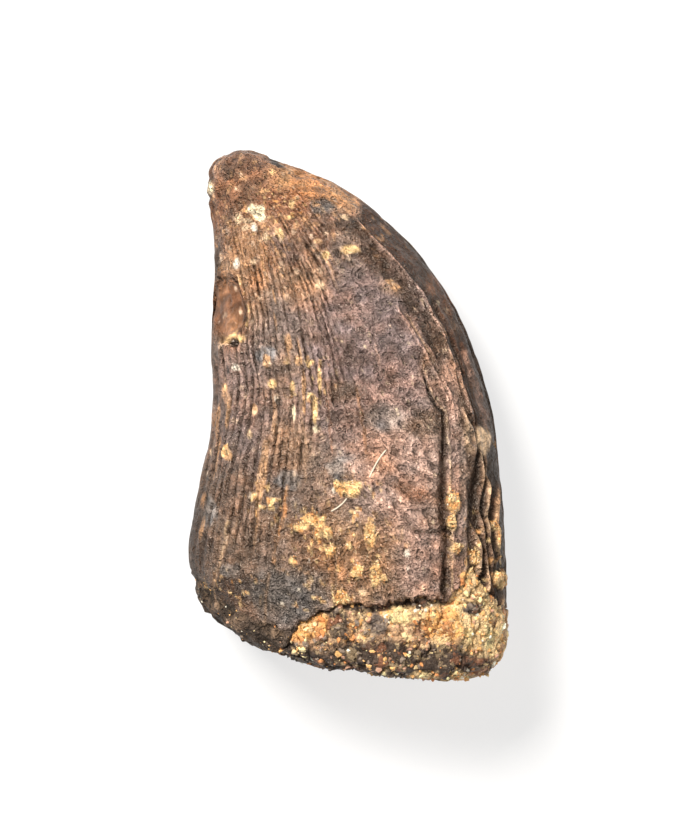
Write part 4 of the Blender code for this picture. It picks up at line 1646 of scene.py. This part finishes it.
@dataclass(frozen=True)
class EnamelFinish:
    """Dark mineralised enamel: painted tint with painted highlights and shade, fine grooves of growth,
    crinkled skin and uneven gloss.

    The attribute "phase" counts the grooves across the crown, and "ridged", "crumple" and
    "slant" say how strongly each place shows the grooves, the crinkles and the oblique wrinkles.
    """

    speckles_per_m: float = 5200.0
    clouds_per_m: float = 900.0
    crinkles_per_m: float = 1450.0
    creases_per_m: float = 900.0
    crests_per_m: float = 1050.0
    fine_crests_per_m: float = 2900.0
    wrinkles_per_m: float = 1500.0
    grit_per_m: float = 4600.0
    groove_depth: float = 0.00009
    crinkle_depth: float = 0.00055
    crest_depth: float = 0.00028
    fine_crest_depth: float = 0.0001
    crease_depth: float = 0.00004
    wrinkle_depth: float = 0.00015
    along_depth: float = 0.0003
    grit_depth: float = 0.00014
    # The colour of the painted shade in the grooves and creases.
    hollow_shade: Rgb = srgb(56, 42, 34)
    shine: Rgb = (1.0, 0.84, 0.7)
    ior: float = 1.55

    def grooves(self, n: Nodes) -> Socket:
        """1 on the floor of each fine groove, fading in and out along it.

        Args:
            n: The material's nodes.

        Returns:
            The grooves' value.
        """
        flow = n.attribute("flow", "Vector")
        long = n.spread(n.noise(1.6, 2.0, 0.5, flow), 0.3, 0.7, -0.26, 0.26)
        short = n.spread(n.noise(1500.0, 2.0, 0.5), 0.3, 0.7, -0.3, 0.3)
        phase = n.sum(n.attribute("phase", "Fac"), n.sum(long, short))
        away = n.sum(n.sum(n.sum(phase, 0.0, "FRACT"), -0.5), 0.0, "ABSOLUTE")
        groove = n.spread(away, 0.02, 0.17, 1.0, 0.0)
        fade = n.spread(n.noise(0.9, 4.0, 0.6, flow), 0.42, 0.58, 0.0, 1.0)
        return n.times(n.times(groove, fade), n.attribute("ridged", "Fac"))

    def material(self) -> bpy.types.Material:
        """Builds the material: painted tint with painted highlights on the crests and wrinkles, then painted
        shade in the grooves and creases, gloss and bumps.

        Returns:
            The material.
        """
        n = Nodes("fossil_enamel_detail")
        n.shader.inputs["IOR"].default_value = self.ior
        n.shader.inputs["Specular Tint"].default_value = (*self.shine, 1)
        crumple, slant, ridged = (n.attribute(name, "Fac") for name in ("crumple", "slant", "ridged"))
        groove = self.grooves(n)
        crinkle = n.noise(self.crinkles_per_m, 1.5, 0.5, curl=0.7)
        crest = n.crests(self.crests_per_m, 2.0, n.shifted(n.noise_colour(800.0, 2.0), 0.0008))
        fine = n.crests(self.fine_crests_per_m, 1.0, n.shifted(n.noise_colour(2500.0, 1.0), 0.0002))
        wrinkle = n.crests(self.wrinkles_per_m, 1.5, n.drawn(-42.0, 3.2))
        along = n.noise(2.0, 2.0, 0.6, n.attribute("flow", "Vector"))
        cloud = n.noise(self.clouds_per_m, 3.0, 0.55)
        speckle = n.noise(self.speckles_per_m, 1.0, 0.5)
        folded = n.sum(n.sum(n.noise(self.creases_per_m, 1.5, 0.5, curl=0.8), -0.5), 0.0, "ABSOLUTE")
        crease = n.times(n.spread(folded, 0.004, 0.03, 1.0, 0.0), crumple)

        # Painted highlights: glints on the fine crests, and lighter streaks along the plate's oblique
        # wrinkles with darker ones between.
        glint = n.sum(n.spread(fine, 0.9, 1.6, 0.0, 0.34), n.spread(fine, 0.3, 0.8, -0.16, 0.0))
        streak = n.spread(wrinkle, 0.3, 1.5, -0.28, 0.4)
        bright = n.times(
            n.sum(n.times(glint, crumple), 1.0),
            n.sum(n.times(streak, slant), 1.0),
        )
        for value, low, high, dark, light in (
            (along, 0.36, 0.64, 0.84, 1.16),
            (cloud, 0.36, 0.64, 0.68, 1.32),
            (speckle, 0.36, 0.64, 0.94, 1.06),
            (crinkle, 0.36, 0.64, 0.9, 1.1),
            # Painted shade in the crests' valleys and painted highlights on the crests.
            (crest, 0.3, 1.0, 0.8, 1.0),
            (crest, 1.0, 1.6, 1.0, 1.45),
        ):
            bright = n.times(bright, n.spread(value, low, high, dark, light))
        colour = n.scaled(n.attribute("tint"), bright)
        # Painted shade in the fine grooves and the creases.
        colour = n.over(n.times(groove, 0.72), colour, self.hollow_shade)
        colour = n.over(n.times(crease, 0.22), colour, self.hollow_shade)

        gloss = n.spread(n.noise(1800.0, 2.0), 0.38, 0.62, 0.0, 0.12)
        gloss = n.sum(gloss, n.spread(crest, 0.4, 1.4, 0.25, 0.09))
        gloss = n.sum(gloss, n.times(n.attribute("matte", "Fac"), 0.4))
        skin = None
        for height, share, depth in (
            (groove, -1.0, self.groove_depth),
            (crinkle, crumple, self.crinkle_depth),
            (crest, crumple, self.crest_depth),
            (fine, crumple, self.fine_crest_depth),
            (wrinkle, slant, self.wrinkle_depth),
            (along, ridged, self.along_depth),
            (crease, -1.0, self.crease_depth),
            (n.noise(self.grit_per_m, 1.0, 0.5), crumple, self.grit_depth),
        ):
            skin = n.bump(n.times(height, share), depth, skin)
        return n.finish(colour, gloss, skin)


@dataclass(frozen=True)
class SandFinish:
    """A loose grain of the sandstone: painted tint, mineral speckle and a dull granular skin."""

    name: str
    speckles_per_m: float = 4200.0
    low: float = 0.7
    high: float = 1.25
    roughness: float = 0.6
    skin: float = 0.0001

    def material(self) -> bpy.types.Material:
        """Builds the material: the tint with speckles, and one bump.

        Returns:
            The material.
        """
        n = Nodes(self.name)
        speckle = n.noise(self.speckles_per_m, 4.0, 0.7)
        colour = n.scaled(n.attribute("tint"), n.spread(speckle, 0.3, 0.7, self.low, self.high))
        rough = n.spread(n.noise(3000.0, 2.0), 0.3, 0.7, self.roughness - 0.18, self.roughness + 0.12)
        return n.finish(colour, rough, n.bump(speckle, self.skin))


@dataclass(frozen=True)
class CementFinish:
    """Cemented sandstone: ragged clumps of grains, each with its own shade, with dark gaps between."""

    grains_per_m: float = 3300.0
    clumps_per_m: float = 950.0
    ragged: float = 0.0011
    grain_depth: float = 0.00006
    clump_depth: float = 0.00015
    fine_depth: float = 0.00012
    gap: Rgb = srgb(58, 42, 32)
    pale: Rgb = srgb(248, 214, 162)
    rusty: Rgb = srgb(176, 112, 74)

    def material(self) -> bpy.types.Material:
        """Builds the material: cells for clumps and for grains, shaded, painted and raised.

        Returns:
            The material.
        """
        n = Nodes("sandstone_cement")
        fine = n.noise(5200.0, 3.0, 0.6)
        uneven = n.shifted(n.noise_colour(4200.0, 2.0), 0.3 * self.ragged)
        grain, grain_shade = n.cells(self.grains_per_m, uneven)
        clump, clump_shade = n.cells(self.clumps_per_m, n.shifted(n.noise_colour(1500.0, 3.0), self.ragged))
        shade = n.spread(clump_shade, 0.1, 0.9, 0.76, 1.26)
        shade = n.times(shade, n.spread(grain_shade, 0.1, 0.9, 0.84, 1.24))
        shade = n.times(shade, n.spread(fine, 0.3, 0.7, 0.82, 1.22))
        colour = n.scaled(n.attribute("tint"), shade)
        bright = n.attribute("bright", "Fac")
        for share, paint in (
            (n.times(n.spread(clump_shade, 0.8, 0.86, 0.0, 0.65), bright), self.pale),
            (n.spread(clump_shade, 0.2, 0.12, 0.0, 0.5), self.rusty),
            (n.times(n.spread(grain_shade, 0.9, 0.94, 0.0, 0.7), bright), self.pale),
            (n.spread(grain_shade, 0.12, 0.06, 0.0, 0.6), self.gap),
            (n.spread(clump, 0.0, 0.07, 0.4, 0.0), self.gap),
            (n.spread(grain, 0.0, 0.1, 0.22, 0.0), self.gap),
        ):
            colour = n.over(share, colour, paint)
        skin = n.bump(n.spread(clump, 0.0, 0.3, 0.0, 1.0), self.clump_depth)
        skin = n.bump(n.spread(grain, 0.0, 0.3, 0.0, 1.0), self.grain_depth, skin)
        return n.finish(colour, n.spread(fine, 0.3, 0.7, 0.4, 0.8), n.bump(fine, self.fine_depth, skin))


@dataclass(frozen=True)
class LintFinish:
    """Pale cotton lint, with its twist as faint bands."""

    colour: Rgb = srgb(226, 212, 190)

    def material(self) -> bpy.types.Material:
        """Builds the material: one colour, banded by the twist.

        Returns:
            The material.
        """
        n = Nodes("lint_cotton")
        n.shader.inputs["Sheen Weight"].default_value = 0.3
        twist = n.noise(14000.0, 2.0)
        colour = n.scaled(self.colour, n.spread(twist, 0.3, 0.7, 0.8, 1.1))
        return n.finish(colour, n.spread(twist, 0.3, 0.7, 0.7, 0.9), n.bump(twist, 0.00002))


@dataclass
class ToothPiece:
    """The crown: its form, its relief and its paint, as one closed skin."""

    form: CrownForm
    relief: Relief
    colours: EnamelColours = field(default_factory=EnamelColours)
    top_columns: int = 335
    under_columns: int = 75
    crown_rows: int = 208
    face_rows: int = 10
    corner_rows: int = 7
    tip_rows: int = 14

    def smooth(self, form: Surface) -> Array:
        """1 on the skin and 0 in the scoop, which a flake left smooth."""
        return 1 - SCOOP.cover(form.x, form.y) * form.upper

    def crumple(self, form: Surface) -> Array:
        """How crumpled the skin is: less in the scoop, on the front face and over the flutes.

        Args:
            form: The bare surface.

        Returns:
            The share at each place.
        """
        low = form.y <= -1.5
        front = ease(0.0, 0.6, form.x - CARINA.x_at(form.y)) * ~low + ease(0.7, 0.78, form.c) * low
        grooved = 0.25 * self.relief.ridged(form)
        skin = np.clip(1 - (0.3 * front + grooved) * form.upper, 0.1, 1)
        return skin * (0.15 + 0.85 * self.smooth(form))

    def build(self) -> tuple[bpy.types.Object, Surface]:
        """Makes the piece.

        Returns:
            The piece, and its finished surface, which the smaller pieces lie on.
        """
        crown = [(t, 1.0, 0.0) for t in np.linspace(0, TIP_T, self.crown_rows)]
        end = self.form.base_rings(self.face_rows, self.corner_rows)
        rings = end + crown + self.form.tip_rings(self.tip_rows)
        bare = self.form.surface(rings, *self.form.columns(self.top_columns, self.under_columns))
        height = self.relief.height(bare)
        finished = bare.raised(height)
        tint = self.colours.colour(bare, self.relief, height)
        front = ease(0.0, 0.6, bare.x - CARINA.x_at(bare.y))
        matte = self.relief.ochre(bare) + 0.5 * ease(0.8, 0.9, bare.t) + self.relief.bare(bare) + 0.15 * front
        matte = np.clip(matte + 0.8 * ease(0.84, 0.98, np.abs(bare.c)), 0, 1)
        clean = 1 - 0.9 * self.relief.ochre(bare)
        values = {
            "tint": np.clip(tint, 0.004, 0.95),
            "matte": matte,
            "flow": np.stack([bare.c * 13, bare.z * 0.8, bare.t * 13], axis=-1),
            "crumple": self.crumple(bare),
            "phase": self.relief.phase(bare),
            "ridged": self.relief.ridged(bare) * clean * self.smooth(bare),
            "slant": self.relief.slanted(bare) * clean,
        }
        piece = closed_grid("tooth_enamel", finished.points, values)
        piece.data.materials.append(EnamelFinish().material())
        return piece, finished


@dataclass
class SandstonePiece:
    """The sandstone that fills the broken corner and closes the base, under its loose grains."""

    form: CrownForm
    gap: Break
    colours: SandColours = field(default_factory=SandColours)
    proud: float = -0.05
    recess_x: tuple[float, ...] = (-7.0, -2.0, 0.5, 7.0, 9.5)
    recess: tuple[float, ...] = (0.2, 0.3, 0.9, 0.9, 0.15)
    recess_ends: float = 2.2
    bulge: float = 0.3
    lump: float = 0.42
    hidden: float = 1.7
    reaches_t: float = 0.34
    pale_grains: tuple[float, ...] = (1.0, 1.0, 0.45, 1.0, 0.2)
    face_rows: int = 60
    corner_rows: int = 10
    side_rows: int = 110
    top_columns: int = 330
    under_columns: int = 170

    def relief(self, form: Surface) -> Array:
        """Lumps parted by thin creases, set back along the break and hidden past it.

        Args:
            form: The bare surface.

        Returns:
            The height at each place.
        """
        points = form.points
        rough = lumps(points, 2.3, 11) + 0.6 * lumps(points, 1.15, 17) + 0.35 * lumps(points, 0.5, 19)
        rough = rough - 0.9 * bell(rubble(points, 1.3, 23), 0.09)
        below = self.gap.below(points)
        deep = np.interp(points[..., 0], self.recess_x, self.recess)
        recess = deep * (1 - ease(0.0, self.recess_ends, below))
        bulge = self.bulge * ease(12.0, 13.2, points[..., 0])
        sunk = self.hidden * (1 - ease(-0.35, 0.15, below))
        return self.proud - recess + bulge + self.lump * rough - sunk - worn_corner(points)

    def build(self) -> tuple[bpy.types.Object, Surface, Array]:
        """Makes the piece.

        Returns:
            The piece, its finished surface, and how far each place lies below the break.
        """
        sides = [(t, 1.0, 0.0) for t in np.linspace(0, self.reaches_t, self.side_rows)]
        cap = [(self.reaches_t, k, 0.0) for k in (0.85, 0.5, 0.0)]
        rings = self.form.base_rings(self.face_rows, self.corner_rows) + sides + cap
        bare = self.form.surface(rings, *self.form.columns(self.top_columns, self.under_columns))
        finished = bare.raised(self.relief(bare))
        bright = self.colours.zones(finished.points) @ np.array(self.pale_grains)
        values = {"tint": self.colours.ground(finished.points), "bright": bright}
        piece = closed_grid("sandstone_matrix", finished.points, values)
        piece.data.materials.append(CementFinish().material())
        return piece, finished, self.gap.below(bare.points)


def icosahedron() -> tuple[Array, Array]:
    """The 12 corners, on a unit sphere, and the 20 faces of a regular icosahedron.

    Returns:
        The corners, and the faces as rows of three corners.
    """
    g = (1 + math.sqrt(5)) / 2
    corners = np.array(
        [(-1, g, 0), (1, g, 0), (-1, -g, 0), (1, -g, 0), (0, -1, g), (0, 1, g),
         (0, -1, -g), (0, 1, -g), (g, 0, -1), (g, 0, 1), (-g, 0, -1), (-g, 0, 1)], float,
    ) / math.hypot(1, g)
    faces = np.array(
        [(0, 11, 5), (0, 5, 1), (0, 1, 7), (0, 7, 10), (0, 10, 11), (1, 5, 9), (5, 11, 4),
         (11, 10, 2), (10, 7, 6), (7, 1, 8), (3, 9, 4), (3, 4, 2), (3, 2, 6), (3, 6, 8),
         (3, 8, 9), (4, 9, 5), (2, 4, 11), (6, 2, 10), (8, 6, 7), (9, 8, 1)]
    )
    return corners, faces


@dataclass
class GrainScatter:
    """Loose grains set into a surface: small angular stones of twenty faces each, in millimetres."""

    name: str
    count: int
    smallest: float
    largest: float
    seed: int
    sink: float = 0.3
    small_power: float = 2.2
    jagged: float = 0.28
    most_jagged: float = 1.4
    lowest: float = 0.02
    clustered: float = 0.6
    all_bright: bool = False

    def places(self, surface: Surface, weight: Array, random: np.random.Generator) -> tuple[Array, Array]:
        """Random places on the grid, drawn by each cell's area and weight.

        Args:
            surface: The grid that the grains lie on.
            weight: How densely each point of it is covered.
            random: The seeded generator.

        Returns:
            The places and their normals.
        """
        p = surface.points
        across = np.roll(p, -1, axis=1) - p
        along = np.roll(p, -1, axis=0) - p
        area = np.linalg.norm(np.cross(across, along), axis=-1) * np.clip(weight, 0, None)
        area[-1] = 0
        chances = area.ravel() / area.sum()
        cell = random.choice(area.size, self.count, p=chances)
        row, column = np.divmod(cell, area.shape[1])
        shift = random.random((2, self.count, 1))
        spot = p[row, column] + across[row, column] * shift[0] + along[row, column] * shift[1]
        return spot, surface.normal[row, column]

    def build(self, surface: Surface, weight: Array, colours: SandColours) -> bpy.types.Object:
        """Makes the grains as one mesh.

        Each corner of the icosahedron is pushed in or out at random and stretched along random
        axes, so that no two grains are alike.

        Args:
            surface: The grid that the grains lie on.
            weight: How densely each point of it is covered.
            colours: Where the grains' colours come from.

        Returns:
            The piece.
        """
        random = np.random.default_rng(self.seed)
        spot, normal = self.places(surface, weight, random)
        corners, faces = icosahedron()
        size = self.smallest + (self.largest - self.smallest) * random.random(self.count) ** self.small_power
        jag = random.standard_normal((self.count, len(corners), 1))
        shape = corners[None] * (1 + self.jagged * jag.clip(-self.most_jagged, self.most_jagged))
        turn = np.linalg.qr(random.standard_normal((self.count, 3, 3)))[0]
        turn = turn * np.sign(np.linalg.det(turn))[:, None, None]
        stretch = 0.75 + 0.5 * random.random((self.count, 1, 3))
        shape = np.einsum("nij,nkj->nki", turn, shape * stretch) * size[:, None, None]
        centre = spot - normal * (size * (self.sink + 0.5 * random.random(self.count)))[:, None]
        points = (centre[:, None, :] + shape).reshape(-1, 3)
        points[:, 2] = np.maximum(points[:, 2], self.lowest)
        every = (faces[None] + len(corners) * np.arange(self.count)[:, None, None]).reshape(-1, 3)
        mesh = bpy.data.meshes.new(self.name)
        mesh.from_pydata((points * MM).tolist(), [], every.tolist())
        near = 0.5 + 0.75 * lumps(spot, 1.0, 131) + 0.5 * (random.random(self.count) - 0.5)
        like_near = random.random(self.count) < self.clustered
        chance = np.where(like_near, np.clip(near, 0, 0.999), random.random(self.count))
        picked = colours.pick(colours.bright if self.all_bright else colours.odds(spot), chance)
        shade = 0.88 + 0.34 * random.random((self.count, 1))
        write_attribute(mesh, "tint", np.repeat(np.clip(picked * shade, 0, 0.95), len(corners), axis=0))
        mesh.update()
        piece = link(self.name, mesh)
        piece.data.materials.append(SandFinish(f"{self.name}_mineral").material())
        return piece


@dataclass(frozen=True)
class LintFibre:
    """One stray fibre lying on the enamel, along a bowed line on the upper face."""

    name: str
    start: tuple[float, float]
    end: tuple[float, float]
    bow: float
    radius: float = 0.065
    rings: int = 26
    sides: int = 8
    settled_over: int = 7

    def build(self, surface: Surface) -> bpy.types.Object:
        """Makes the fibre: a circle carried along a parabola that rests on the surface.

        Args:
            surface: The enamel's surface.

        Returns:
            The piece.
        """
        s = np.linspace(0, 1, self.rings)[:, None]
        start, end = np.array(self.start), np.array(self.end)
        side = np.array([start[1] - end[1], end[0] - start[0]]) / np.linalg.norm(end - start)
        flat = start + (end - start) * s + side * self.bow * 4 * s * (1 - s)
        top = surface.points[surface.normal[..., 2] > 0.3]
        near = ((flat[:, None, :] - top[None, :, :2]) ** 2).sum(axis=-1).argmin(axis=1)
        padded = np.pad(top[near, 2], self.settled_over // 2, mode="edge")
        lie = np.convolve(padded, np.ones(self.settled_over) / self.settled_over, mode="valid")
        lie = np.maximum(lie, top[near, 2]) + self.radius * 0.9
        path = np.concatenate([flat, lie[:, None]], axis=1)
        along = np.gradient(path, axis=0)
        along /= np.linalg.norm(along, axis=1, keepdims=True)
        out = np.cross(along, np.array([0.0, 0.0, 1.0]))
        out /= np.linalg.norm(out, axis=1, keepdims=True)
        up = np.cross(out, along)
        angle = np.linspace(0, 2 * np.pi, self.sides, endpoint=False)
        taper = self.radius * np.clip(np.sin(np.pi * s) * 6, 0, 1) ** 0.5
        ring = out[:, None, :] * np.cos(angle)[None, :, None] + up[:, None, :] * np.sin(angle)[None, :, None]
        points = path[:, None, :] + ring * taper[:, None, :]
        piece = closed_grid(self.name, points[:, ::-1], {})
        piece.data.materials.append(LintFinish().material())
        return piece


@dataclass(frozen=True)
class Studio:
    """A pale floor, one soft key light, a weak fill and the camera straight above."""

    frame_height: float = 0.0707
    distance: float = 0.6
    plane_z: float = 0.008
    centre: tuple[float, float] = (0.000085, -0.00021)
    key_place: tuple[float, float, float] = (-0.2, 0.25, 0.46)
    key_watts: float = 5.4
    key_size: float = 0.19
    fill_place: tuple[float, float, float] = (0.35, -0.1, 0.45)
    fill_share: float = 0.19
    fill_size: float = 0.4
    world: float = 0.16
    floor_reach: float = 2.0
    floor_z: float = -0.00002
    floor_shade: float = 0.3
    floor_glow: float = 0.68
    warmth: Rgb = (1.0, 0.965, 0.92)

    def floor(self) -> bpy.types.Object:
        """A pale sheet just under the tooth.

        Returns:
            The floor.
        """
        mesh = bpy.data.meshes.new("floor")
        signs = ((-1, -1), (1, -1), (1, 1), (-1, 1))
        rim = [(a * self.floor_reach, b * self.floor_reach, self.floor_z) for a, b in signs]
        mesh.from_pydata(rim, [], [(0, 1, 2, 3)])
        piece = link("floor", mesh)
        n = Nodes("floor_paper")
        grain = n.noise(900.0, 2.0)
        colour = n.scaled((self.floor_shade,) * 3, n.spread(grain, 0.3, 0.7, 0.99, 1.0))
        n.shader.inputs["Emission Color"].default_value = (1, 1, 1, 1)
        n.shader.inputs["Emission Strength"].default_value = self.floor_glow
        rough = n.spread(grain, 0.3, 0.7, 0.9, 0.95)
        piece.data.materials.append(n.finish(colour, rough, n.bump(grain, 0.00001)))
        return piece

    def camera(self) -> None:
        """A long lens that looks straight down, with +Y at the top."""
        data = bpy.data.cameras.new("camera")
        data.sensor_fit = "VERTICAL"
        data.sensor_height = 36.0
        data.lens = data.sensor_height * self.distance / self.frame_height
        data.clip_start = 0.01
        camera = bpy.data.objects.new("camera", data)
        camera.location = (*self.centre, self.plane_z + self.distance)
        bpy.context.scene.collection.objects.link(camera)
        bpy.context.scene.camera = camera

    def light(self, name: str, place: tuple[float, float, float], watts: float, size: float) -> None:
        """A square light aimed at the middle of the tooth.

        Args:
            name: The light's name.
            place: Where it stands, in metres.
            watts: Its power.
            size: The length of its sides.
        """
        data = bpy.data.lights.new(name, "AREA")
        data.energy = watts
        data.color = self.warmth
        data.size = size
        lamp = bpy.data.objects.new(name, data)
        lamp.location = place
        aim = np.array(place) - np.array([0, 0, self.plane_z])
        away = aim / np.linalg.norm(aim)
        lamp.rotation_euler = (math.acos(away[2]), 0, math.atan2(away[1], away[0]) + math.pi / 2)
        bpy.context.scene.collection.objects.link(lamp)

    def build(self) -> bpy.types.Object:
        """Sets the camera, the lights and the floor.

        Returns:
            The floor.
        """
        self.camera()
        self.light("key", self.key_place, self.key_watts, self.key_size)
        self.light("fill", self.fill_place, self.fill_share * self.key_watts, self.fill_size)
        world = bpy.data.worlds.new("studio")
        world.use_nodes = True
        world.node_tree.nodes["Background"].inputs["Color"].default_value = (1, 1, 1, 1)
        world.node_tree.nodes["Background"].inputs["Strength"].default_value = self.world
        bpy.context.scene.world = world
        bpy.context.scene.view_settings.view_transform = "Standard"
        return self.floor()


def belongs(piece: bpy.types.Object, slot: Slot) -> None:
    """Rides a piece on the body, and logs how many faces it has.

    Args:
        piece: The piece.
        slot: Not used.
    """
    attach(piece, "root")
    log.info("%s: %d faces", piece.name, len(piece.data.polygons))


def corners(box: Iterable[Iterable[float]]) -> list[list[float]]:
    """A box's two corners as plain lists."""
    return [[float(value) for value in corner] for corner in box]


def main() -> None:
    """Builds the pieces in order."""
    logging.basicConfig(level=logging.INFO, format="%(message)s")
    cad_box = corners(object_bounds())
    form, relief, sand_colours = CrownForm(), Relief(), SandColours()

    tooth, surface = ToothPiece(form, relief).build()
    belongs(tooth, Slot.ENAMEL)
    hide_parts("tooth")

    sandstone, sand_surface, below = SandstonePiece(form, relief.gap, sand_colours).build()
    belongs(sandstone, Slot.SAND)
    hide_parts("sandstone")

    z = sand_surface.z
    weight = ease(-0.1, 0.25, below) * (0.5 + 0.9 * ease(6.0, 14.0, z)) * ease(0.4, 1.2, z)
    gritty = relief.bare(surface) * ease(0.3, -0.2, relief.gap.below(surface.points))
    gritty = gritty * ease(1.0, 2.0, surface.z) * (0.1 + 0.9 * ease(5.5, 9.5, surface.z))
    covered = relief.ochre(surface) * surface.upper
    for scatter, ground, density in (
        (GrainScatter("sand_grains", 2600, 0.06, 0.3, 7), sand_surface, weight),
        (GrainScatter("corner_grit", 260, 0.05, 0.18, 13), surface, gritty),
        (GrainScatter("ochre_crumbs", 1300, 0.035, 0.11, 11, all_bright=True), surface, covered),
    ):
        belongs(scatter.build(ground, density, sand_colours), Slot.SAND)

    for fibre in (
        LintFibre("lint_long", (3.14, -2.92), (1.7, -5.35), -0.14),
        LintFibre("lint_short", (-0.17, -6.99), (-1.53, -8.1), 0.12),
    ):
        belongs(fibre.build(surface), Slot.SAND)

    Studio().build()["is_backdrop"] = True
    {"cad": cad_box, "visual": corners(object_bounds())}


if __name__ == "__main__":
    main()
